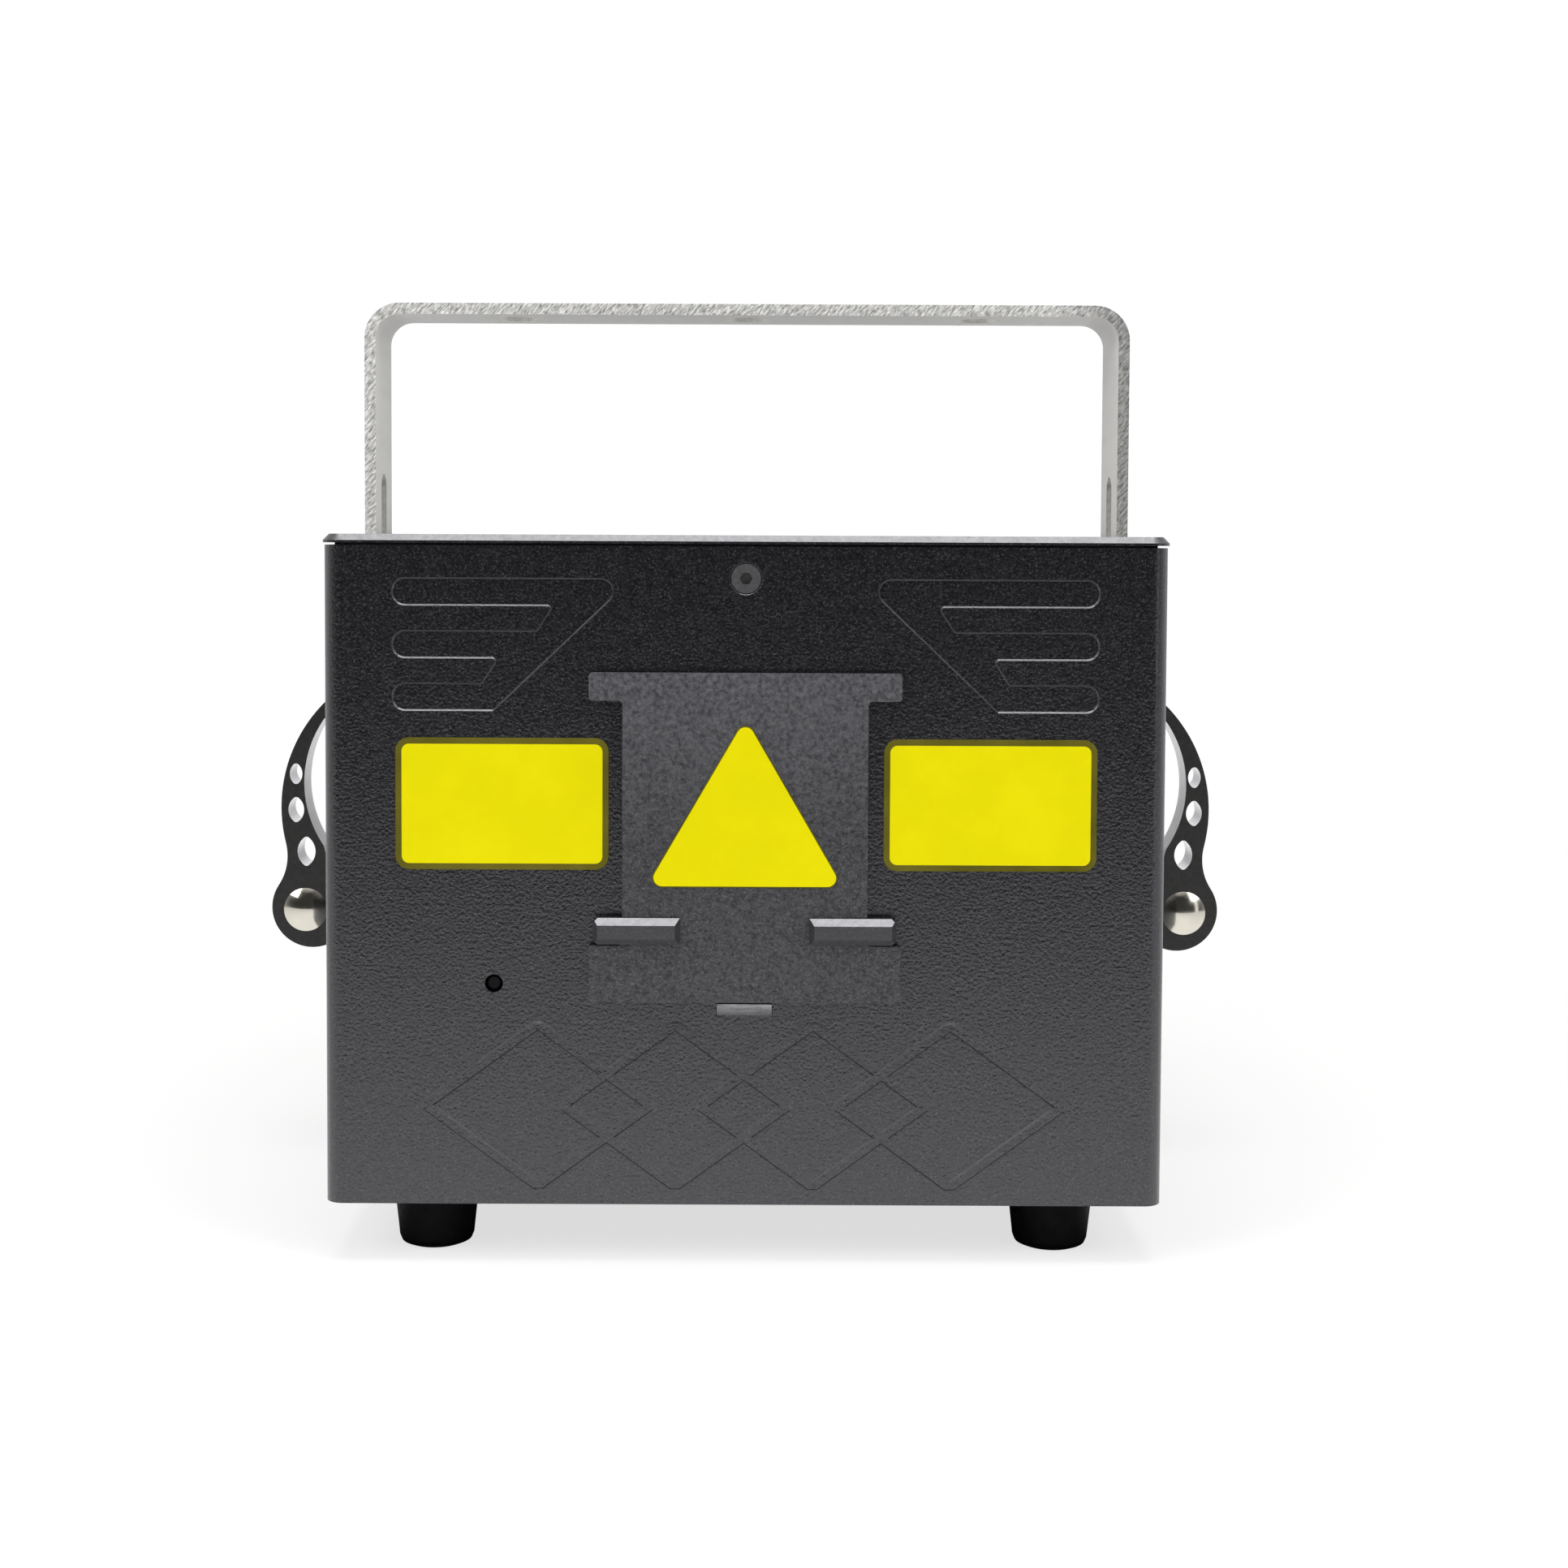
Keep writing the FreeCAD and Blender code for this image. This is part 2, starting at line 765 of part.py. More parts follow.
def yoke():
    """Bent strap with a slot along each leg and three holes in its crossbar."""
    width = span(0, yoke_width)

    def is_top(place):
        return place.z > lid_top

    outer = block((-leg_outer, leg_outer), width, (leg_end, crossbar_top))
    room = span(0, yoke_width + 2 * overrun)
    inside = block((-leg_inner, leg_inner), room, (leg_end - overrun, crossbar_bottom))
    strap = round_edges(outer, Y_AXIS, yoke_bend, is_top)
    strap = strap.cut(round_edges(inside, Y_AXIS, yoke_bend - yoke_strap, is_top))
    strap = round_edges(strap, X_AXIS, yoke_end_round, lambda place: place.z < leg_end + overrun)
    reach = leg_outer + overrun
    cuts = [stadium_x((-reach, reach), 0, (slot_bottom, slot_top), slot_width)]
    for i in (-1, 0, 1):
        x = i * crossbar_hole_pitch
        cuts.append(rod(crossbar_hole_radius, Vector(x, 0, lid_top), Vector(x, 0, crossbar_top + overrun)))
    return strap.cut(cuts)


def on_stud(x):
    """Point of the right clamp's axis."""
    return Vector(x, 0, stud_z)


def stud_insert():
    """Threaded insert in the side wall."""
    start = side - insert_length
    body = rod(insert_radius - running_gap, on_stud(start), on_stud(side))
    flange = rod(insert_flange_radius, on_stud(inner_side - insert_flange), on_stud(inner_side))
    return body.fuse(flange).cut(stud_hole())


def clamp_stud():
    return rod(stud_radius, on_stud(side - insert_length), on_stud(pivot_x + stud_end))


def stud_hole():
    """Hole for the stud, as far as the stud reaches."""
    start = side - insert_length - overrun
    return rod(stud_radius + running_gap, on_stud(start), on_stud(pivot_x + stud_end + running_gap))


def friction_washer():
    ring = rod(washer_radius, on_stud(side), on_stud(side + washer_thickness))
    return ring.cut(stud_hole())


def slot_bush():
    """Flat-sided bush that turns on the stud and slides in the leg's slot."""
    x = (leg_inner, leg_outer)
    height = span(stud_z, bush_length)
    body = stadium_x(x, 0, height, slot_width - 2 * yoke_play)
    return body.cut(stud_hole())


def cam_follower():
    """Thrust block between the leg and the cam, with a saddle for the cam."""
    start = leg_outer + yoke_play
    end = cam_x - cam_radius - cam_gap + saddle_depth
    body = rod(follower_radius, on_stud(start), on_stud(end))
    reach = follower_radius + overrun
    saddle = rod(cam_radius + cam_gap, Vector(cam_x, -reach, cam_z), Vector(cam_x, reach, cam_z))
    return body.cut([saddle, stud_hole()])


def lever_point(share):
    """Point of the lever's outline: shares of its length outward and upward from the pivot."""
    return Vector(pivot_x + share[0] * lever_length, -lever_thickness / 2, stud_z + share[1] * lever_length)


def hub_point(angle):
    """Point on the rim of the lever's hub, at an angle up from the outward direction."""
    turn = math.radians(angle)
    outward = Vector(math.cos(turn), 0, math.sin(turn))
    return Vector(cam_x, -lever_thickness / 2, cam_z) + outward * cam_radius


def tangent_arc(start, away, end):
    """Arc that leaves a round form along its tangent; away points out of that form."""
    gap = start - end
    radius = -gap.Length ** 2 / (2 * gap.dot(away))
    centre = start + away * radius
    middle = centre + (start + end - centre * 2).normalize() * radius
    return Part.Arc(start, middle, end).toShape()


def lever_outline():
    """Hub and curved arm of the lever in one outline, its outer edge smooth from the hub to the tip."""
    root = hub_point(lever_neck_angle)
    throat = hub_point(lever_throat_angle)
    far_side = hub_point((lever_neck_angle + lever_throat_angle) / 2 + full_turn / 2)
    waist, tip = [lever_point(share) for share in lever_outer_shares]
    inner = [lever_point(share) for share in lever_inner_shares]
    hub = Vector(cam_x, root.y, cam_z)
    neck = tangent_arc(root, (root - hub).normalize(), waist)
    spine = tangent_arc(waist, (waist - neck.Curve.Center).normalize(), tip)
    curves = [Part.LineSegment(tip, inner[0]), Part.LineSegment(inner[0], inner[1])]
    curves += [Part.Arc(inner[1], inner[2], inner[3]), Part.LineSegment(inner[3], throat)]
    curves.append(Part.Arc(throat, far_side, root))
    return Part.Wire([neck, spine] + [curve.toShape() for curve in curves])


def lever_holes():
    """Oval holes along the arm: two bowed sides that meet in round tips."""
    cuts = []
    for u, v, half_width, half_height in lever_hole_shares:
        top, right, bottom, left = [
            lever_point((u + x * half_width, v + y * half_height)) - Y_AXIS * overrun
            for x, y in ((0, 1), (1, 0), (0, -1), (-1, 0))
        ]
        sides = [Part.Arc(top, right, bottom).toShape(), Part.Arc(bottom, left, top).toShape()]
        hole = Part.Face(Part.Wire(sides)).extrude(Y_AXIS * (lever_thickness + 2 * overrun))
        cuts.append(round_edges(hole, Y_AXIS, lever_hole_round))
    return cuts


def stud_room():
    """Slot in the hub that the stud sweeps as the lever opens."""
    half = stud_radius + stud_slot_gap
    reach = cam_radius + cam_inward + overrun
    depth = (-half, half)
    cuts = [block((pivot_x - reach, pivot_x), depth, (stud_z - reach, stud_z + half))]
    arm = block((pivot_x - reach, pivot_x), depth, (stud_z - half, stud_z + half))
    for angle in (right_angle, (right_angle + lever_swing) / 2, lever_swing):
        turned = arm.copy()
        turned.rotate(on_stud(pivot_x), Y_AXIS, -angle)
        cuts.append(turned)
    return cuts


def cam_lever():
    """Quick-release lever: an off-centre hub with a curved, pierced arm."""
    half = lever_thickness / 2
    body = Part.Face(lever_outline()).extrude(Y_AXIS * lever_thickness)
    reach = half + overrun
    bore = rod(pin_radius + running_gap, Vector(pivot_x, -reach, stud_z), Vector(pivot_x, reach, stud_z))
    return body.cut(lever_holes() + stud_room() + [bore])


def lever_pin():
    """Cross pin with domed ends, which the stud screws into."""
    half = lever_thickness / 2
    tip = half + pin_dome
    ball = (pin_radius ** 2 + pin_dome ** 2) / (2 * pin_dome)
    body = rod(pin_radius, Vector(pivot_x, -tip, stud_z), Vector(pivot_x, tip, stud_z))
    for end in (-1, 1):
        body = body.common(Part.makeSphere(ball, Vector(pivot_x, end * (tip - ball), stud_z)))
    return body.cut(stud_hole())


def on_both_sides(shape):
    return [mirrored(shape), shape]


def board_studs(size, place, z):
    """Four short hexagonal pillars under a board's corners."""
    xs = [place[0] + s * (size[0] / 2 - board_inset) for s in (-1, 1)]
    ys = [place[1] + s * (size[1] / 2 - board_inset) for s in (-1, 1)]
    return [hex_prism(Vector(x, y, z), Z_AXIS, board_stud_flats, board_stud) for x in xs for y in ys]


def driver_board(size, place, z):
    """Board on four studs, with a heat sink block and a row of capacitors."""
    low = z + board_stud
    top = low + board_sheet
    body = block(span(place[0], size[0]), span(place[1], size[1]), (low, top))
    sink = [size[0] * sink_width_share, size[1] * sink_length_share]
    parts = [block(span(place[0], sink[0]), span(place[1], sink[1]), (top, top + sink_height))]
    y = place[1] + size[1] / 2 - 2 * capacitor_radius
    for i in (-1, 0, 1):
        foot_point = Vector(place[0] + i * capacitor_pitch, y, top)
        parts.append(rod(capacitor_radius, foot_point, foot_point + Z_AXIS * capacitor_height))
    return body.fuse(parts + board_studs(size, place, z))


def post_places():
    x = optics_half_width - post_inset
    low = scan_y - optics_front + post_inset
    high = scan_y - optics_front + optics_length - post_inset
    return [(s * x, y) for s in (-1, 1) for y in (low, high)]


def optics_posts():
    """Hexagonal pillars that carry the optics plate."""
    height = optics_bottom - base_top
    return [hex_prism(Vector(x, y, base_top), Z_AXIS, post_flats, height) for x, y in post_places()]


def optics_plate():
    low = scan_y - optics_front
    return block(span(0, 2 * optics_half_width), (low, low + optics_length), (optics_bottom, optics_top))


def finned(body, x, y, along_x):
    """Cooling fins cut into the top of a laser module."""
    top = optics_top + laser_height
    z = (top - laser_fin_depth, top + overrun)
    low, high = (y if along_x else x)
    step = (high - low) / (2 * laser_fins + 1)
    cuts = []
    for i in range(laser_fins):
        slot = (low + step * (2 * i + 1), low + step * (2 * i + 2))
        room = (x, slot) if along_x else (slot, y)
        cuts.append(block(room[0], room[1], z))
    return body.cut(cuts)


def red_laser():
    """Laser module that shines along the combined beam."""
    x = (-red_back, red_length - red_back)
    y = span(scan_y, laser_width)
    body = finned(block(x, y, (optics_top, optics_top + laser_height)), x, y, True)
    nose = rod(snout_radius, Vector(x[1], scan_y, beam_z), Vector(x[1] + snout_length, scan_y, beam_z))
    return body.fuse(nose)


def crossing_laser(x):
    """Laser module that shines forward onto its combining filter."""
    wide = span(x, laser_width)
    long = (scan_y + combiner_throw, scan_y + combiner_throw + laser_length)
    body = finned(block(wide, long, (optics_top, optics_top + laser_height)), wide, long, False)
    nose = rod(snout_radius, Vector(x, long[0] - snout_length, beam_z), Vector(x, long[0], beam_z))
    return body.fuse(nose)


def filter_plate(x, gap):
    """Filter at half a right angle to the beam, grown by a gap on every side."""
    low = optics_top + mount_height - filter_seat
    thick = span(x, filter_thickness + 2 * gap)
    plate = block(thick, span(scan_y, filter_width + 2 * gap), (low - gap, low + filter_height))
    plate.rotate(Vector(x, scan_y, low), Z_AXIS, right_angle / 2)
    return plate


def combiner_mounts():
    mounts = []
    height = (optics_top, optics_top + mount_height)
    for x in combiner_x:
        foot_block = block(span(x, mount_size), span(scan_y, mount_size), height)
        mounts.append(foot_block.cut(filter_plate(x, running_gap)))
    return mounts


def dichroic_filters():
    return [filter_plate(x, 0) for x in combiner_x]


def scanner_block():
    """Angle block that holds the two scanner motors at right angles."""
    z = (optics_top, scan_z + scanner_rise)
    wall_x = (scanner_gap, scanner_gap + scanner_wall)
    wall_y = (scan_y + scanner_gap, scan_y + scanner_gap + scanner_wall)
    rear = block((-scanner_reach, wall_x[1]), wall_y, z)
    flank = block(wall_x, (scan_y - scanner_reach, wall_y[1]), z)
    bores = []
    for start, axis in scanner_axes():
        bores.append(rod(motor_radius + running_gap, start, start + axis * (2 * motor_length)))
    return rear.fuse(flank).removeSplitter().cut(bores)


def scanner_axes():
    """Mirror centre and motor direction of the two scanners, horizontal scan first."""
    return [(Vector(0, scan_y, beam_z), Y_AXIS), (Vector(0, scan_y, scan_z), X_AXIS)]


def scanner_motor(centre, axis):
    start = centre + axis * (scanner_gap - motor_nose)
    end = start + axis * motor_length
    body = rod(motor_radius, start, end).fuse(rod(motor_cap_radius, end, end + axis * motor_cap))
    return body.cut(rod(shaft_radius + running_gap, start, start + axis * (shaft_depth + overrun)))


def scanner_mirror(centre, axis):
    """Mirror on its shaft, at half a right angle at rest."""
    half = [mirror_length / 2 if abs(part) > 0 else mirror_width / 2 for part in (axis.x, axis.y)]
    plate = block((-half[0], half[0]), (-half[1], half[1]), span(0, mirror_thickness))
    plate.rotate(Vector(), Vector(axis.x, -axis.y, 0), right_angle / 2)
    plate.translate(centre)
    nose = centre + axis * (scanner_gap - motor_nose)
    grip_start = centre + axis * (mirror_length / 2 - mirror_thickness)
    grip = rod(clamp_radius, grip_start, grip_start + axis * clamp_length)
    return plate.fuse([grip, rod(shaft_radius, grip_start, nose + axis * shaft_depth)]).removeSplitter()


def power_supply():
    """Sheet-metal supply case, open at the end where its terminal strip sits."""
    y = span(supply_y, supply_size[1])
    z = (base_top, base_top + supply_size[2])
    case = block(span(supply_x, supply_size[0]), y, z)
    inside = span(supply_x, supply_size[0] - 2 * supply_sheet)
    hollow = block(inside, (y[0] + supply_sheet, y[1] + overrun), (z[0] + supply_sheet, z[1] - supply_sheet))
    floor = z[0] + supply_sheet
    room = (y[1] - terminal_size[1], y[1])
    strip = block(span(supply_x, terminal_size[0]), room, (floor, floor + terminal_size[2]))
    return case.cut(hollow).fuse(strip)


def on_panel(x, z, y=back):
    return Vector(x, y, z)


def fan_hole_places():
    reach = fan_size / 2 - fan_hole_inset
    return [(fan_x + sx * reach, fan_z + sz * reach) for sx in (-1, 1) for sz in (-1, 1)]


def along_panel(radius, x, z, low, high):
    """Round bar square to the rear panel."""
    return rod(radius, on_panel(x, z, low), on_panel(x, z, high))


def plate_on_panel(x, z, size, depth, radius=0):
    """Rectangular plate parallel to the rear panel."""
    body = block(span(x, size[0]), depth, span(z, size[1]))
    return round_edges(body, Y_AXIS, radius) if radius else body


def fan_frame():
    """Square frame with a round duct, and struts that carry the motor cup."""
    body = plate_on_panel(fan_x, fan_z, (fan_size, fan_size), (fan_front, shell_back), fan_strut)
    through = (fan_front - overrun, shell_back + overrun)
    holes = [along_panel(fan_hole_radius, x, z, *through) for x, z in fan_hole_places()]
    body = body.cut(holes + [along_panel(fan_bore, fan_x, fan_z, *through)])
    cup = along_panel(fan_cup_radius, fan_x, fan_z, fan_front, fan_front + fan_cup)
    struts = []
    for size in ((fan_size - fan_strut, fan_strut), (fan_strut, fan_size - fan_strut)):
        struts.append(plate_on_panel(fan_x, fan_z, size, (fan_front, fan_front + fan_strut)))
    shaft_low = fan_front + fan_cup - fan_shaft - overrun
    room = (shaft_low, fan_front + fan_cup + overrun)
    bearing = along_panel(fan_shaft_radius + running_gap, fan_x, fan_z, *room)
    return body.fuse([cup] + struts).removeSplitter().cut(bearing)


def blade(angle):
    """Pitched blade from inside the hub to near the duct."""
    middle = fan_front + fan_cup + fan_gap + fan_hub_depth / 2
    chord = span(fan_x, blade_chord)
    reach = (fan_z + fan_hub_radius - blade_root_sink, fan_z + fan_bore - fan_tip_gap)
    body = block(chord, span(middle, blade_sheet), reach)
    body.rotate(Vector(fan_x, middle, fan_z), Z_AXIS, blade_pitch)
    tip = along_panel(fan_bore - fan_tip_gap, fan_x, fan_z, middle - blade_chord, middle + blade_chord)
    body = body.common(tip)
    body.rotate(on_panel(fan_x, fan_z), Y_AXIS, angle)
    return body


def fan_rotor():
    """Hub with pitched blades and a shaft in the motor cup."""
    low = fan_front + fan_cup + fan_gap
    hub = along_panel(fan_hub_radius, fan_x, fan_z, low, low + fan_hub_depth)
    shaft = along_panel(fan_shaft_radius, fan_x, fan_z, low - fan_gap - fan_shaft, low)
    blades = [blade(full_turn * i / blade_count) for i in range(blade_count)]
    return hub.fuse([shaft] + blades)


def fan_guard():
    """Flat finger guard of rings and spokes, outside the panel."""
    depth = (back, back + guard_sheet)
    through = (back - overrun, back + guard_sheet + overrun)
    parts = []
    for i in range(guard_rings):
        radius = fan_bore - i * guard_ring_pitch
        room = along_panel(radius - guard_ring_width, fan_x, fan_z, *through)
        parts.append(along_panel(radius, fan_x, fan_z, *depth).cut(room))
    corner = (fan_size / 2 - fan_hole_inset) * math.sqrt(2)
    spoke = plate_on_panel(fan_x, fan_z, (2 * corner, guard_spoke), depth)
    tabs = [plate_on_panel(fan_x + s * corner, fan_z, (guard_tab, guard_tab), depth) for s in (-1, 1)]
    arm = spoke.fuse(tabs)
    for angle in (right_angle / 2, -right_angle / 2):
        turned = arm.copy()
        turned.rotate(on_panel(fan_x, fan_z), Y_AXIS, angle)
        parts.append(turned)
    hole = guard_screw_radius + screw_hole_gap
    holes = [along_panel(hole, x, z, *through) for x, z in fan_hole_places()]
    return parts[0].fuse(parts[1:]).cut(holes).removeSplitter()


def fan_screws():
    """Pan-head screws through guard, panel and fan."""
    seat = back + guard_sheet
    bodies = []
    for x, z in fan_hole_places():
        shank = along_panel(guard_screw_radius, x, z, fan_front, seat)
        bodies.append(shank.fuse(along_panel(guard_head_radius, x, z, seat, seat + guard_head)))
    return bodies


def bevelled_block(x, z, size, depth, bevel):
    """Block whose two upper corners are bevelled, as a mains inlet's cavity is."""
    body = plate_on_panel(x, z, size, depth)
    edges = straight_edges(body, Y_AXIS, lambda place: place.z > z)
    return body.makeChamfer(bevel, edges)


def power_inlet():
    """Mains inlet with a flange outside the panel and a keyed cavity."""
    flange_face = back + inlet_flange_sheet
    flange = plate_on_panel(inlet_x, inlet_z, inlet_flange, (back, flange_face), inlet_round)
    body = plate_on_panel(inlet_x, inlet_z, inlet_body, (flange_face - inlet_depth, back))
    floor = flange_face - inlet_cavity_depth
    cavity = bevelled_block(inlet_x, inlet_z, inlet_cavity, (floor, flange_face + overrun), inlet_bevel)
    holes = [pin.copy() for pin in inlet_pins()]
    return flange.fuse(body).removeSplitter().cut([cavity] + holes)


def inlet_pins():
    """Three blades of the mains inlet."""
    floor = back + inlet_flange_sheet - inlet_cavity_depth
    depth = (floor - pin_step, floor + pin_reach)
    places = [(-pin_pitch, -pin_step), (0, pin_step), (pin_pitch, -pin_step)]
    upright = (pin_size[1], pin_size[0])
    return [plate_on_panel(inlet_x + x, inlet_z + z, upright, depth) for x, z in places]


def switch_body_shape():
    """Rocker switch body with its bezel."""
    face = back + switch_bezel_sheet
    bezel = plate_on_panel(switch_x, switch_z, switch_bezel, (back, face), panel_round)
    body = plate_on_panel(switch_x, switch_z, switch_body, (face - switch_depth, back))
    inside = (switch_body[0] - 2 * switch_wall, switch_body[1] - 2 * switch_wall)
    cavity = plate_on_panel(switch_x, switch_z, inside, (face - switch_depth + switch_wall, face + overrun))
    bore = rocker_pivot(rocker_pivot_radius + running_gap, switch_body[0] / 2 + overrun)
    return bezel.fuse(body).removeSplitter().cut([cavity, bore])


def rocker_axis():
    return back + rocker_pivot_depth


def rocker_pivot(radius, half):
    """Round bar on the rocker's axis."""
    y = rocker_axis()
    return rod(radius, Vector(switch_x - half, y, switch_z), Vector(switch_x + half, y, switch_z))


def power_rocker():
    """Rocker on its pivot, tipped to the off side."""
    y = rocker_axis()
    profile = [(rocker_rise, rocker_half_height), (rocker_dip, 0), (rocker_rise, -rocker_half_height)]
    profile += [(-rocker_root, -rocker_root_half), (-rocker_root, rocker_root_half)]
    start = switch_x - rocker_width / 2
    body = prism([Vector(start, y + out, switch_z + up) for out, up in profile], X_AXIS * rocker_width)
    body = body.fuse(rocker_pivot(rocker_pivot_radius, switch_body[0] / 2))
    body.rotate(Vector(switch_x, y, switch_z), X_AXIS, rocker_tilt)
    return body


def key_switch():
    """Lock body with a collar outside the panel."""
    face = back + key_flange
    collar = along_panel(key_flange_radius, key_x, key_z, back, face)
    body = along_panel(key_radius, key_x, key_z, face - key_depth, back)
    bore = along_panel(key_rotor_radius + running_gap, key_x, key_z, face - key_rotor_depth, face + overrun)
    return collar.fuse(body).removeSplitter().cut(bore)


def key_rotor():
    """Lock rotor with its key slot upright at rest."""
    face = back + key_flange
    body = along_panel(key_rotor_radius, key_x, key_z, face - key_rotor_depth, face)
    return body.cut(plate_on_panel(key_x, key_z, key_slot, (face - key_slot_depth, face + overrun)))


def display():
    """Display module between the control board and its window."""
    grown = [size + 2 * display_bezel for size in display_size]
    body = plate_on_panel(display_x, display_z, grown, (control_board_y, shell_back))
    return body.fuse(plate_on_panel(display_x, display_z, display_size, (shell_back, back))).removeSplitter()


def button_places():
    return [display_x + (i - (button_count - 1) / 2) * button_pitch for i in range(button_count)]


def menu_button(x):
    """Push button kept behind the panel by its flange."""
    cap = along_panel(button_radius, x, button_z, shell_back - button_gap, back + button_proud)
    flange_back = shell_back - button_gap - button_flange
    flange = along_panel(button_flange_radius, x, button_z, flange_back, shell_back - button_gap)
    stem_size = (button_stem_width, button_stem_width)
    stem = plate_on_panel(x, button_z, stem_size, (flange_back - button_stem, flange_back))
    return cap.fuse([flange, stem]).removeSplitter()


def control_board():
    """Upright board on studs behind the rear panel, with a switch behind each button."""
    depth = (control_board_y - board_sheet, control_board_y)
    body = plate_on_panel(display_x, control_board_z, control_board_size, depth)
    stem_end = shell_back - button_gap - button_flange - button_stem
    parts = []
    for x in button_places():
        top = stem_end - tact_gap
        parts.append(plate_on_panel(x, button_z, (tact_size, tact_size), (control_board_y, top)))
    for x, z in control_board_corners():
        foot_point = on_panel(x, z, control_board_y)
        parts.append(hex_prism(foot_point, Y_AXIS, board_stud_flats, control_board_depth))
    return body.fuse(parts)


def control_board_corners():
    x = control_board_size[0] / 2 - board_inset
    z = control_board_size[1] / 2 - board_inset
    return [(display_x + sx * x, control_board_z + sz * z) for sx in (-1, 1) for sz in (-1, 1)]


def contact_places():
    """Three contacts on a circle, two of them level."""
    turns = [math.radians(full_turn * i / 4) for i in range(contact_count)]
    return [(contact_circle * math.cos(a), -contact_circle * math.sin(a)) for a in turns]


def data_socket(x):
    """Round data socket behind a square flange."""
    face = back + socket_flange_sheet
    flange = plate_on_panel(x, socket_z, socket_flange, (back, face), socket_flange_round)
    return flange.fuse(along_panel(socket_radius, x, socket_z, face - socket_depth_in, back)).removeSplitter()


def data_input():
    """Socket with an open bore round its contacts."""
    face = back + socket_flange_sheet
    x = socket_x[0]
    bore = along_panel(socket_bore, x, socket_z, face - socket_bore_depth, face + overrun)
    return data_socket(x).cut([bore] + data_contacts())


def data_contacts():
    face = back + socket_flange_sheet
    low = face - socket_bore_depth - contact_radius
    x = socket_x[0]
    pairs = contact_places()
    return [along_panel(contact_radius, x + u, socket_z + v, low, low + contact_length) for u, v in pairs]


def data_output():
    """Socket with three contact holes in a flush face."""
    face = back + socket_flange_sheet
    x = socket_x[1]
    depth = (face - contact_length, face + overrun)
    holes = [along_panel(contact_hole_radius, x + u, socket_z + v, *depth) for u, v in contact_places()]
    groove = along_panel(socket_bore, x, socket_z, face - contact_radius, face + overrun)
    groove = groove.cut(along_panel(socket_bore - contact_radius, x, socket_z, back, face + overrun))
    return data_socket(x).cut(holes + [groove])


def safety_eye():
    """Bent eye plate for a safety rope."""
    foot_plate = plate_on_panel(eye_x, eye_z, eye_base, (back, back + eye_sheet), panel_round)
    tip = eye_tip - eye_half
    ear = block(span(eye_x, eye_sheet), (back, tip), span(eye_z, 2 * eye_half))
    nose = rod(eye_half, Vector(eye_x - eye_sheet / 2, tip, eye_z), Vector(eye_x + eye_sheet / 2, tip, eye_z))
    hole = rod(eye_hole_radius, Vector(eye_x - eye_sheet, tip, eye_z), Vector(eye_x + eye_sheet, tip, eye_z))
    return foot_plate.fuse([ear, nose]).removeSplitter().cut(hole)


def rear_panel():
    """Flat rear panel with the openings of its fittings."""
    x = side - bend_radius
    height = (wall_bottom, wall_top)
    body = round_edges(block((-x, x), (shell_back, back), height), Y_AXIS, panel_round)
    through = (shell_back - overrun, back + overrun)
    cuts = [along_panel(fan_bore, fan_x, fan_z, *through)]
    cuts += [along_panel(fan_hole_radius, px, pz, *through) for px, pz in fan_hole_places()]
    inlet_room = [size + 2 * running_gap for size in inlet_body]
    cuts.append(plate_on_panel(inlet_x, inlet_z, inlet_room, through))
    switch_room = [size + 2 * running_gap for size in switch_body]
    cuts.append(plate_on_panel(switch_x, switch_z, switch_room, through))
    cuts.append(along_panel(key_radius + running_gap, key_x, key_z, *through))
    window = [size + 2 * running_gap for size in display_size]
    cuts.append(plate_on_panel(display_x, display_z, window, through))
    cuts += [along_panel(button_radius + button_gap, px, button_z, *through) for px in button_places()]
    cuts += [along_panel(socket_radius + running_gap, px, socket_z, *through) for px in socket_x]
    return body.cut(cuts + sinks(lid_screw_places()) + sinks(rear_screw_places()))


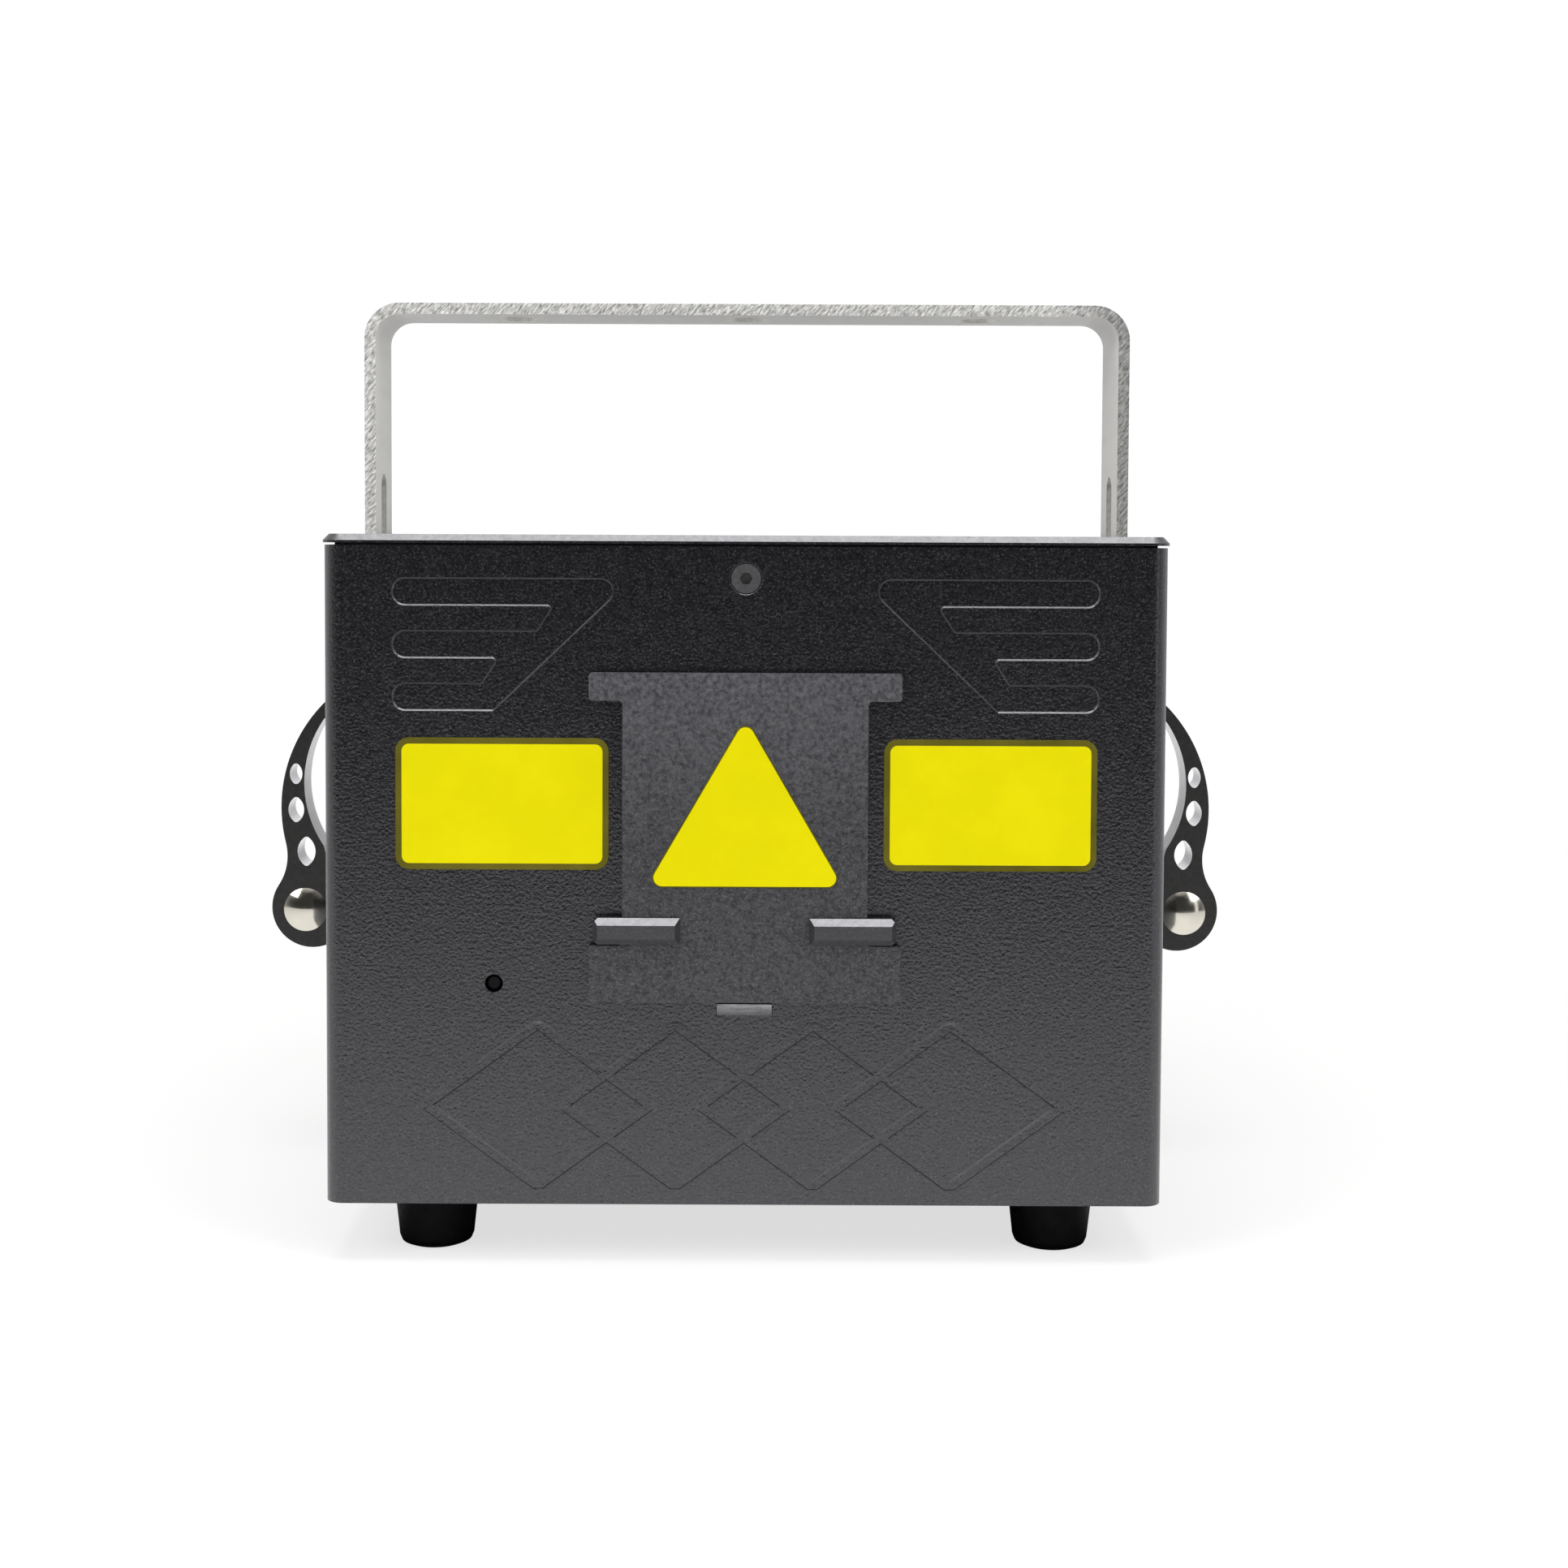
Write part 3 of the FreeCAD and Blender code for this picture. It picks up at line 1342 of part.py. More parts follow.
def pieces():
    """Every node of the part, by name, with its solids."""
    nodes = {
        "main_shell": [main_shell()],
        "base_plate": [base_plate()],
        "lid": [lid()],
        "rear_panel": [rear_panel()],
        "lid_screws": screws(lid_screw_places()),
        "base_screws": screws(side_places(base_screw_z)),
        "rear_screws": screws(rear_screw_places()),
        "rubber_feet": at_feet(foot()),
        "foot_screws": at_feet(foot_screw()),
        "aperture_window": [aperture_window()],
        "window_frame": [window_frame()],
        "emission_led": [emission_led()],
        "shutter_plate": [shutter_plate()],
        "shutter_guide_right": [shutter_guide()],
        "shutter_guide_left": [mirrored(shutter_guide())],
        "yoke": [yoke()],
        "stud_inserts": on_both_sides(stud_insert()),
        "clamp_studs": on_both_sides(clamp_stud()),
        "friction_washers": on_both_sides(friction_washer()),
        "slot_bushes": on_both_sides(slot_bush()),
        "cam_followers": on_both_sides(cam_follower()),
        "lever_pins": on_both_sides(lever_pin()),
        "cam_lever_right": [cam_lever()],
        "cam_lever_left": [mirrored(cam_lever())],
        "optics_plate": [optics_plate()],
        "optics_posts": optics_posts(),
        "red_laser": [red_laser()],
        "green_laser": [crossing_laser(combiner_x[0])],
        "blue_laser": [crossing_laser(combiner_x[1])],
        "combiner_mounts": combiner_mounts(),
        "dichroic_filters": dichroic_filters(),
        "scanner_block": [scanner_block()],
        "power_supply": [power_supply()],
        "laser_driver_board": [driver_board(laser_board_size, laser_board_place, base_top)],
        "scanner_driver_board": [driver_board(scanner_board_size, scanner_board_place, optics_top)],
        "control_board": [control_board()],
        "fan_frame": [fan_frame()],
        "fan_rotor": [fan_rotor()],
        "fan_guard": [fan_guard()],
        "fan_screws": fan_screws(),
        "power_inlet": [power_inlet()],
        "inlet_pins": inlet_pins(),
        "switch_body": [switch_body_shape()],
        "power_rocker": [power_rocker()],
        "key_switch": [key_switch()],
        "key_rotor": [key_rotor()],
        "display": [display()],
        "data_input": [data_input()],
        "data_contacts": data_contacts(),
        "data_output": [data_output()],
        "safety_eye": [safety_eye()],
    }
    for axis_name, (centre, axis) in zip(("horizontal", "vertical"), scanner_axes()):
        nodes["scanner_motor_" + axis_name] = [scanner_motor(centre, axis)]
        nodes["scanner_mirror_" + axis_name] = [scanner_mirror(centre, axis)]
    for number, x in enumerate(button_places(), start=1):
        nodes["menu_button_" + str(number)] = [menu_button(x)]
    return nodes


def main():
    os.makedirs("parts", exist_ok=True)
    for name, solids in pieces().items():
        shape = solids[0] if len(solids) == 1 else Part.makeCompound(solids)
        shape = shape.translated(Vector(0, depth_shift, 0))
        shape.exportStep("parts/" + name + ".step")


main()
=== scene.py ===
import json
import math

import bmesh
import bpy
from mathutils import Matrix, Vector


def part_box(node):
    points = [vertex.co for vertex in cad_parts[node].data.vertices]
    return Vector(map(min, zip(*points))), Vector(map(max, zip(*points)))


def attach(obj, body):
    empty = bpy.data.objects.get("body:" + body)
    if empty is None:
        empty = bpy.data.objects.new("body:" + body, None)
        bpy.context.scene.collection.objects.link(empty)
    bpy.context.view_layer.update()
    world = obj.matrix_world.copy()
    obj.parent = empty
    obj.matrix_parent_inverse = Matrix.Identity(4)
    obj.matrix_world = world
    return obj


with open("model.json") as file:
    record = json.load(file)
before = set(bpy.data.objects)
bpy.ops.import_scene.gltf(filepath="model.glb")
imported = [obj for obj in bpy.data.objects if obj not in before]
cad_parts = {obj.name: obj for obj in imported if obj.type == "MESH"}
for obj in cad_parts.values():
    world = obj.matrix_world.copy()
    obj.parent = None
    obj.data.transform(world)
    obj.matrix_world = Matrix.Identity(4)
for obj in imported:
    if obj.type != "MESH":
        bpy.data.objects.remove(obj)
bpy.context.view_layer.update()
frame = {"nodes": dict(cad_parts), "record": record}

# Laser show projector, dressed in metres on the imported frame. The front faces -Y, with +X on the right.

MM = 0.001

# Camera, as fitted to the photograph: frame, focal length and centre in pixels, then its place and turn
FRAME_PX = 1932
FOCAL_PX = 2631.0
CENTRE_PX = (919.0, 780.0)
SENSOR = 36.0
CAMERA_DISTANCE = 578.1 * MM
CAMERA_PITCH = 2.62
CAMERA_ROLL = 0.25

# Places that the solids give
panel_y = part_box("shutter_guide_left")[1].y
lid_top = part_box("lid")[1].z
shutter_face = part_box("shutter_plate")[0].y
case_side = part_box("lid")[1].x
case_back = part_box("lid")[1].y

# Bare plates: half width and half height, and places below the lid's top
PLATE_HALF = (29.0 * MM, 18.0 * MM)
PLATE_X = (-66.1 * MM, 66.7 * MM)
PLATE_DROP = 73.2 * MM
PLATE_ROUND = 3.7 * MM
PLATE_RIM = 1.7 * MM
PLATE_THICKNESS = 0.3 * MM
PLATE_EDGE = 0.1 * MM
TRIANGLE_TOP = 48.8 * MM
TRIANGLE_BOTTOM = 95.5 * MM
TRIANGLE_HALF = 27.1 * MM
TRIANGLE_ROUND = 2.7 * MM
TRIANGLE_RIM = 0.35 * MM
ARC_STEPS = 8

# White table that ends in front of the object, seen with its shadow, and mirrored dark under the case as a
# painted shadow in reflections
FLOOR_HALF = 1.2
FLOOR_FRONT = -0.76
FLOOR_BACK = 1.2
FLOOR_FADE = (0.22, 0.55)
FLOOR_GLOW = 0.7
FLOOR_SHADE = 0.006
FLOOR_MIRRORED = (1.3, 1.0)
FLOOR_ROUGHNESS = 0.8
FLOOR_SPECULAR = 0.1
FLOOR_TONE_SCALE = 3.0
FLOOR_TONES = ((0.88, 0.88, 0.87), (0.9, 0.9, 0.89))

# Room that glossy faces mirror: dim in front, with a faint glow at the left and a bright ceiling. The bands
# are ranges of the direction's parts between which each wall fades.
ROOM_BACK_BAND = (-0.6, 0.1)
ROOM_LEFT_BAND = (-0.8, -0.4)
ROOM_CEILING_BAND = (0.62, 0.76)
ROOM_FRONT = 0.05
ROOM_LEFT = 0.1
ROOM_LIGHT = 0.4
BACKDROP = 1.03

# Lamps: place, point faced, size and power in watts
LAMPS = {
    "top": ((0.0, -0.2, 1.2), (0.0, -0.15, 0.1), (0.9, 0.5), 10.5),
    "front_left": ((-1.3, -1.0, 1.3), (0.0, -0.1, 0.12), (1.0, 1.0), 17.0),
    "front_right": ((1.3, -1.0, 1.3), (0.0, -0.1, 0.12), (1.0, 1.0), 14.0),
    "strip_right": ((1.2, -1.0, 0.35), (0.1, -0.1, 0.1), (0.22, 1.0), 0.9),
}

# Noise values between which most finishes run from their first end to their last
NOISE_BAND = (0.3, 0.7)


class Nodes:
    """Short calls that add nodes to one tree and join them."""

    def __init__(self, tree):
        self.tree = tree
        self.coords = self.add("ShaderNodeTexCoord")

    def add(self, kind, **settings):
        node = self.tree.nodes.new(kind)
        for key, value in settings.items():
            setattr(node, key, value)
        return node

    def put(self, value, socket):
        """Link a node's output to a socket, or set the socket to a number."""
        if isinstance(value, (int, float)):
            socket.default_value = value
        else:
            self.tree.links.new(value, socket)

    def part(self, output, axis):
        """One part of the place, the normal or the direction that the coordinates give."""
        split = self.add("ShaderNodeSeparateXYZ")
        self.put(self.coords.outputs[output], split.inputs["Vector"])
        return split.outputs[axis]

    def spread(self, factor, band, ends=(0.0, 1.0)):
        """Number that runs from the first end to the last as the factor crosses a band."""
        node = self.add("ShaderNodeMapRange")
        for key, value in zip(("From Min", "From Max", "To Min", "To Max"), (*band, *ends)):
            node.inputs[key].default_value = value
        self.put(factor, node.inputs["Value"])
        return node.outputs["Result"]

    def math(self, operation, *values):
        node = self.add("ShaderNodeMath", operation=operation)
        for value, socket in zip(values, node.inputs):
            self.put(value, socket)
        return node.outputs["Value"]

    def mix(self, factor, first, last, kind="RGBA"):
        """First where the factor is nought and last where it is one, for colours or for numbers."""
        node = self.add("ShaderNodeMix", data_type=kind)
        for value, key in ((factor, "Factor"), (first, "A"), (last, "B")):
            self.put(value, node.inputs[key])
        return node.outputs["Result"]


class Shader(Nodes):
    """A Principled material, with short calls for the textures that feed it."""

    def __init__(self, name, roughness=0.5, metallic=0.0, specular=0.5):
        self.material = bpy.data.materials.new(name)
        self.material.use_nodes = True
        super().__init__(self.material.node_tree)
        self.bsdf = self.tree.nodes["Principled BSDF"]
        self.bsdf.inputs["Roughness"].default_value = roughness
        self.bsdf.inputs["Metallic"].default_value = metallic
        self.bsdf.inputs["Specular IOR Level"].default_value = specular

    def feed(self, socket, source):
        self.put(source, self.bsdf.inputs[socket])

    def noise(self, scale, detail=3.0, roughness=0.55, stretch=(1.0, 1.0, 1.0), turn=0.0):
        """Noise over the object's own coordinates, in cycles per metre, drawn out and turned about Y."""
        mapping = self.add("ShaderNodeMapping", vector_type="TEXTURE")
        mapping.inputs["Scale"].default_value = stretch
        mapping.inputs["Rotation"].default_value = (0.0, math.radians(turn), 0.0)
        self.put(self.coords.outputs["Object"], mapping.inputs["Vector"])
        node = self.add("ShaderNodeTexNoise")
        node.inputs["Scale"].default_value = scale
        node.inputs["Detail"].default_value = detail
        node.inputs["Roughness"].default_value = roughness
        self.put(mapping.outputs["Vector"], node.inputs["Vector"])
        return node.outputs["Fac"]

    def flecks(self, scale):
        """Distance from the middle of scattered cells, for small bright grains."""
        node = self.add("ShaderNodeTexVoronoi")
        node.inputs["Scale"].default_value = scale
        self.put(self.coords.outputs["Object"], node.inputs["Vector"])
        return node.outputs["Distance"]

    def ramp(self, factor, band, tones):
        """Colour that runs from the first tone to the last as the factor crosses a band."""
        node = self.add("ShaderNodeValToRGB")
        for end, position, tone in zip(node.color_ramp.elements, band, tones):
            end.position = position
            end.color = (*tone, 1.0)
        self.put(factor, node.inputs["Fac"])
        return node.outputs["Color"]

    def plain(self, colour):
        """One colour, as a socket to mix with."""
        node = self.add("ShaderNodeRGB")
        node.outputs[0].default_value = (*colour, 1.0)
        return node.outputs[0]

    def scaled(self, colour, factor):
        """Colour times a number."""
        node = self.add("ShaderNodeVectorMath", operation="SCALE")
        self.put(colour, node.inputs[0])
        self.put(factor, node.inputs["Scale"])
        return node.outputs[0]

    def reach(self):
        """Distance from the object's own origin."""
        node = self.add("ShaderNodeVectorMath", operation="LENGTH")
        self.put(self.coords.outputs["Object"], node.inputs[0])
        return node.outputs["Value"]

    def steepness(self, axis):
        """How far the surface's own normal lies along an axis, either way."""
        return self.math("ABSOLUTE", self.part("Normal", axis))

    def bump(self, height, strength, distance):
        node = self.add("ShaderNodeBump")
        node.inputs["Strength"].default_value = strength
        node.inputs["Distance"].default_value = distance
        self.put(height, node.inputs["Height"])
        self.feed("Normal", node.outputs["Normal"])


# Powder coat: mottled tone, scattered grains, uneven gloss and an orange peel that is weak on slopes
COATING_TINT = (0.96, 0.96, 1.0, 1.0)
MOTTLE_BAND = (0.35, 0.7)
FLECK_SCALE = 1500.0
FLECK_REACH = 0.55
FLECK_CHANCE_SCALE = 1700.0
FLECK_CHANCE_BAND = (0.42, 0.62)
COATING_GLOSS_SCALE = 600.0
COATING_GLOSS_SWING = (-0.04, 0.06)
PEEL_SCALE = 1150.0
PEEL_STRETCH = (1.1, 1.0, 1.0)
PEEL_SQUARE_BAND = (0.85, 0.97)
PEEL_ON_SLOPES = 0.15

# The shutter's painted light, lighter towards its top: its range of height and how much lighter it gets
TOP_LIGHT_HEIGHTS = (lid_top - 85.0 * MM, lid_top - 35.0 * MM)
TOP_LIGHT_GAIN = (0.85, 1.7)

# The lanced tab's lightened face, wear streaks and painted light that is brightest at its upper edge: half
# width, range of height, soft edge and streaks
TAB_HALF = 7.5 * MM
TAB_LOW = lid_top - 131.1 * MM
TAB_HIGH = lid_top - 127.8 * MM
TAB_EDGE = 0.1 * MM
TAB_STREAK_SCALE = 900.0
TAB_STREAK_STRETCH = (6.0, 1.0, 1.0)
TAB_STREAK_BAND = (0.35, 0.68)
TAB_STREAK_AND_LIGHT_TONES = ((0.07, 0.07, 0.073), (0.34, 0.34, 0.35))

# The pressed front, told by the upward part of its normal: lozenges below this height, wings above
LOZENGE_TOP = lid_top - 131.5 * MM
LOZENGE_FADE = 1.0 * MM
UP_BAND = (0.25, 0.45)
DOWN_BAND = (-0.25, -0.45)
TIP_BAND = (0.7, 0.78)
LOZENGE_UP_DULLER = 0.2
LOZENGE_TIP_DULLER = 0.3
LOZENGE_DOWN_DULLER = -0.12
WING_DOWN_DULLER = 0.2


def streak_and_light_tab(shader, colour):
    """Colour with the tab lightened to a streaky grey, partly wear streaks and partly painted light,
    brightest at its upper edge as a painted highlight.
    """
    across = shader.math("ABSOLUTE", shader.part("Object", "X"))
    height = shader.part("Object", "Z")
    inside = shader.spread(across, (TAB_HALF, TAB_HALF + TAB_EDGE), (1.0, 0.0))
    rise = shader.spread(height, (TAB_LOW, TAB_HIGH))
    below = shader.spread(height, (TAB_HIGH + 2 * TAB_EDGE, TAB_HIGH + 3 * TAB_EDGE), (1.0, 0.0))
    inside = shader.math("MULTIPLY", shader.math("MULTIPLY", inside, rise), below)
    streaks = shader.noise(TAB_STREAK_SCALE, detail=4.0, roughness=0.65, stretch=TAB_STREAK_STRETCH)
    return shader.mix(inside, colour, shader.ramp(streaks, TAB_STREAK_BAND, TAB_STREAK_AND_LIGHT_TONES))


def press_front(shader, gloss):
    """Roughness with the pressed slopes' own added."""
    upward = shader.part("Normal", "Z")
    up = shader.spread(upward, UP_BAND)
    tip = shader.spread(upward, TIP_BAND)
    down = shader.spread(upward, DOWN_BAND)
    wings = shader.spread(shader.part("Object", "Z"), (LOZENGE_TOP, LOZENGE_TOP + LOZENGE_FADE))
    lozenges = shader.math("SUBTRACT", 1.0, wings)
    changes = (
        (up, lozenges, LOZENGE_UP_DULLER),
        (tip, lozenges, LOZENGE_TIP_DULLER),
        (down, lozenges, LOZENGE_DOWN_DULLER),
        (down, wings, WING_DOWN_DULLER),
    )
    for slope, zone, change in changes:
        here = shader.math("MULTIPLY", slope, zone)
        gloss = shader.math("ADD", gloss, shader.math("MULTIPLY", here, change))
    return gloss


def powder_coat(name, tones, fleck, roughness, peel, specular=0.9, mottle=1400.0, pressed=False,
                top_lit=False):
    """Fine-textured powder coat, with the pressed front's own marks and the tab's streaks and painted light,
    or the shutter's painted light on its upper half, where asked.
    """
    shader = Shader(name, specular=specular)
    shader.bsdf.inputs["Specular Tint"].default_value = COATING_TINT
    colour = shader.ramp(shader.noise(mottle, detail=4.0, roughness=0.7), MOTTLE_BAND, tones)
    if top_lit:
        # Painted light: the shutter's colour lightens towards its top, from 0.85 to 1.7 times.
        colour = shader.scaled(colour, shader.spread(shader.part("Object", "Z"), TOP_LIGHT_HEIGHTS, TOP_LIGHT_GAIN))
    grains = shader.spread(shader.flecks(FLECK_SCALE), (0.0, FLECK_REACH), (1.0, 0.0))
    chance = shader.spread(shader.noise(FLECK_CHANCE_SCALE, detail=1.0), FLECK_CHANCE_BAND)
    colour = shader.mix(shader.math("MULTIPLY", grains, chance), colour, shader.plain(fleck))
    swing = [roughness + change for change in COATING_GLOSS_SWING]
    gloss = shader.spread(shader.noise(COATING_GLOSS_SCALE), NOISE_BAND, swing)
    if pressed:
        # The lanced tab gets wear streaks and painted light, brightest at its upper edge.
        colour = streak_and_light_tab(shader, colour)
        gloss = press_front(shader, gloss)
    shader.feed("Base Color", colour)
    shader.feed("Roughness", gloss)
    squareness = shader.steepness("Y")
    for axis in ("X", "Z"):
        squareness = shader.math("MAXIMUM", squareness, shader.steepness(axis))
    texture = shader.noise(PEEL_SCALE, detail=1.0, roughness=0.6, stretch=PEEL_STRETCH)
    flat = shader.spread(squareness, PEEL_SQUARE_BAND, (PEEL_ON_SLOPES, 1.0))
    shader.bump(shader.math("MULTIPLY", texture, flat), 1.0, peel)
    return shader.material


# Moulded plastic and rubber: clouded tone, uneven gloss and a fine grain
MOULDED_TONE_SCALE = 260.0
MOULDED_TONE_BAND = (0.3, 0.75)
MOULDED_GLOSS_SCALE = 500.0
MOULDED_GLOSS_SWING = (-0.07, 0.07)
MOULDED_GRAIN_SCALE = 900.0
MOULDED_GRAIN_STRENGTH = 0.3


def moulded(name, tones, roughness, depth=0.04 * MM, specular=0.5):
    """Moulded plastic or rubber with a fine grain."""
    shader = Shader(name, specular=specular)
    clouds = shader.noise(MOULDED_TONE_SCALE, detail=5.0)
    shader.feed("Base Color", shader.ramp(clouds, MOULDED_TONE_BAND, tones))
    swing = [roughness + change for change in MOULDED_GLOSS_SWING]
    shader.feed("Roughness", shader.spread(shader.noise(MOULDED_GLOSS_SCALE), NOISE_BAND, swing))
    shader.bump(shader.noise(MOULDED_GRAIN_SCALE, detail=2.0), MOULDED_GRAIN_STRENGTH, depth)
    return shader.material


# Bare and plated metal: streaks that change the tone, the gloss and the surface together
METAL_TONE_BAND = (0.3, 0.72)
METAL_GLOSS_SWING = (-0.05, 0.08)
METAL_STREAK_STRENGTH = 0.25


def metal(name, tones, roughness, stretch=(1.0, 1.0, 1.0), scale=900.0, depth=0.02 * MM, metallic=1.0):
    """Bare or plated metal with streaks along one axis."""
    shader = Shader(name, metallic=metallic)
    streaks = shader.noise(scale, detail=4.0, stretch=stretch)
    shader.feed("Base Color", shader.ramp(streaks, METAL_TONE_BAND, tones))
    swing = [roughness + change for change in METAL_GLOSS_SWING]
    shader.feed("Roughness", shader.spread(streaks, NOISE_BAND, swing))
    shader.bump(streaks, METAL_STREAK_STRENGTH, depth)
    return shader.material


# The strap's flat faces, bores and sawn edges. A painted shade darkens the sawn edges from the left leg to
# the right one.
STRAP_METALLIC = 0.35
STRAP_ROUGHNESS = (0.38, 0.6)
STRAP_EDGE_BAND = (0.6, 0.9)
FACE_TONES = ((0.54, 0.53, 0.505), (0.61, 0.6, 0.575))
FACE_SCALE = 160.0
FACE_STRETCH = (1.0, 5.0, 1.0)
SAWN_TONES = ((0.22, 0.22, 0.21), (0.9, 0.89, 0.87))
SAWN_SCALE = 1500.0
SAWN_STRETCH = (4.0, 1.0, 1.0)
SAWN_TURN = -50.0
SAWN_BAND = (0.38, 0.62)
SAWN_STRENGTH = 0.5
SAWN_DEPTH = 0.25 * MM
SAWN_PAINTED_SHADE_X = (0.095, 0.117)
SAWN_PAINTED_SHADE = (1.0, 0.5)
SAWN_RIM = (0.3 * MM, 0.1 * MM)
BORE_TONES = ((0.29, 0.28, 0.26), (0.42, 0.41, 0.385))
BORE_SCALE = 500.0


def sawn_aluminium(name):
    """Mill-finish strap: smooth flat faces, dull bores, and sawn edges with a painted shade that darkens them
    to one side.
    """
    shader = Shader(name, metallic=STRAP_METALLIC)
    front, back = (corner.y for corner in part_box("yoke"))
    face = shader.ramp(shader.noise(FACE_SCALE, detail=4.0, stretch=FACE_STRETCH), NOISE_BAND, FACE_TONES)
    marks = shader.noise(SAWN_SCALE, detail=5.0, roughness=0.7, stretch=SAWN_STRETCH, turn=SAWN_TURN)
    cut = shader.ramp(marks, SAWN_BAND, SAWN_TONES)
    # Painted shade: the sawn edges darken to half their tone towards the right leg.
    cut = shader.scaled(cut, shader.spread(shader.part("Object", "X"), SAWN_PAINTED_SHADE_X, SAWN_PAINTED_SHADE))
    middle = shader.math("SUBTRACT", shader.part("Object", "Y"), (front + back) / 2)
    rim = [(back - front) / 2 - inset for inset in SAWN_RIM]
    outer = shader.spread(shader.math("ABSOLUTE", middle), rim)
    edge = shader.spread(shader.steepness("Y"), STRAP_EDGE_BAND)
    bored = shader.ramp(shader.noise(BORE_SCALE), NOISE_BAND, BORE_TONES)
    shader.feed("Base Color", shader.mix(edge, face, shader.mix(outer, bored, cut)))
    shader.feed("Roughness", shader.spread(edge, (0.0, 1.0), STRAP_ROUGHNESS))
    shader.bump(shader.math("MULTIPLY", marks, edge), SAWN_STRENGTH, SAWN_DEPTH)
    return shader.material


# The levers' black faces and bare cut edges. Pairs run from edge to face.
LEVER_SPECULAR = 0.4
LEVER_FACE_BAND = (0.5, 0.8)
LEVER_METALLIC = (0.85, 0.0)
LEVER_ROUGHNESS = (0.28, 0.42)
LEVER_TONES = ((0.012, 0.011, 0.011), (0.024, 0.023, 0.022))
LEVER_TONE_SCALE = 700.0
LEVER_TONE_BAND = (0.3, 0.75)
LEVER_EDGE_TONES = ((0.76, 0.76, 0.78), (0.84, 0.84, 0.86))
LEVER_EDGE_SCALE = 300.0
LEVER_EDGE_STRETCH = (1.0, 10.0, 1.0)
LEVER_GRAIN_SCALE = 1200.0
LEVER_GRAIN_STRENGTH = 0.2
LEVER_GRAIN_DEPTH = 0.05 * MM


def lever_finish(name):
    """Black-faced lever whose cut edges are bare metal."""
    shader = Shader(name, specular=LEVER_SPECULAR)
    black = shader.ramp(shader.noise(LEVER_TONE_SCALE, detail=4.0), LEVER_TONE_BAND, LEVER_TONES)
    grain = shader.noise(LEVER_EDGE_SCALE, detail=4.0, stretch=LEVER_EDGE_STRETCH)
    bare = shader.ramp(grain, NOISE_BAND, LEVER_EDGE_TONES)
    face = shader.spread(shader.steepness("Y"), LEVER_FACE_BAND)
    shader.feed("Base Color", shader.mix(face, bare, black))
    shader.feed("Metallic", shader.spread(face, (0.0, 1.0), LEVER_METALLIC))
    shader.feed("Roughness", shader.spread(face, (0.0, 1.0), LEVER_ROUGHNESS))
    shader.bump(shader.noise(LEVER_GRAIN_SCALE, detail=2.0), LEVER_GRAIN_STRENGTH, LEVER_GRAIN_DEPTH)
    return shader.material


# Clear panes and printed film
PANE_TONE_SCALE = 40.0
PANE_LIGHTER = 1.1
PANE_TRANSMISSION = 0.85
PANE_IOR = 1.5
FILM_ROUGHNESS = 0.6
FILM_SPECULAR = 0.06
FILM_TONE_SCALE = 60.0
FILM_GRAIN_SCALE = 1600.0
FILM_GRAIN_STRENGTH = 0.12
FILM_GRAIN_DEPTH = 0.03 * MM


def glassy(name, tint, roughness):
    """Clear coated pane."""
    shader = Shader(name, roughness)
    lighter = tuple(min(1.0, part * PANE_LIGHTER) for part in tint)
    shader.feed("Base Color", shader.ramp(shader.noise(PANE_TONE_SCALE), NOISE_BAND, (tint, lighter)))
    shader.bsdf.inputs["Transmission Weight"].default_value = PANE_TRANSMISSION
    shader.bsdf.inputs["IOR"].default_value = PANE_IOR
    return shader.material


def plate_paint(name, tones):
    """Plain film with a faint unevenness."""
    shader = Shader(name, FILM_ROUGHNESS, specular=FILM_SPECULAR)
    shader.feed("Base Color", shader.ramp(shader.noise(FILM_TONE_SCALE), NOISE_BAND, tones))
    shader.bump(shader.noise(FILM_GRAIN_SCALE, detail=2.0), FILM_GRAIN_STRENGTH, FILM_GRAIN_DEPTH)
    return shader.material


# Finish of every slot. Tones are the two ends of its colour.
CASE_BLACK = {"tones": ((0.0016, 0.0016, 0.0026), (0.0085, 0.0085, 0.0105)), "fleck": (0.055, 0.055, 0.06)}
SHUTTER_GREY = {"tones": ((0.016, 0.016, 0.019), (0.072, 0.072, 0.078)), "fleck": (0.11, 0.11, 0.118)}
GUIDE_BLACK = {"tones": ((0.012, 0.012, 0.015), (0.02, 0.02, 0.024)), "fleck": (0.04, 0.04, 0.042)}
PAINTS = {
    "case_paint": dict(CASE_BLACK, roughness=0.31, peel=0.1 * MM),
    "shell_paint": dict(CASE_BLACK, roughness=0.25, peel=0.14 * MM, pressed=True),
    "shutter_paint": dict(SHUTTER_GREY, roughness=0.4, peel=0.2 * MM, specular=0.5, mottle=800.0,
                          top_lit=True),
    "guide_paint": dict(GUIDE_BLACK, roughness=0.24, peel=0.02 * MM, specular=1.0),
}
METALS = {
    "screw_steel": dict(tones=((0.07, 0.07, 0.073), (0.11, 0.11, 0.115)), roughness=0.36, metallic=0.4),
    "pin_chrome": dict(tones=((0.56, 0.53, 0.465), (0.62, 0.59, 0.525)), roughness=0.12, scale=200.0,
                       depth=0.004 * MM),
    "clamp_steel": dict(tones=((0.42, 0.42, 0.43), (0.6, 0.6, 0.61)), roughness=0.3, stretch=(1.0, 4.0, 4.0)),
    "optics_aluminium": dict(tones=((0.03, 0.03, 0.032), (0.06, 0.06, 0.062)), roughness=0.4),
    "mirror_silver": dict(tones=((0.85, 0.85, 0.86), (0.92, 0.92, 0.92)), roughness=0.06, depth=0.001 * MM),
    "motor_steel": dict(tones=((0.4, 0.4, 0.41), (0.58, 0.58, 0.58)), roughness=0.32),
    "contact_brass": dict(tones=((0.6, 0.44, 0.18), (0.76, 0.6, 0.3)), roughness=0.25),
}
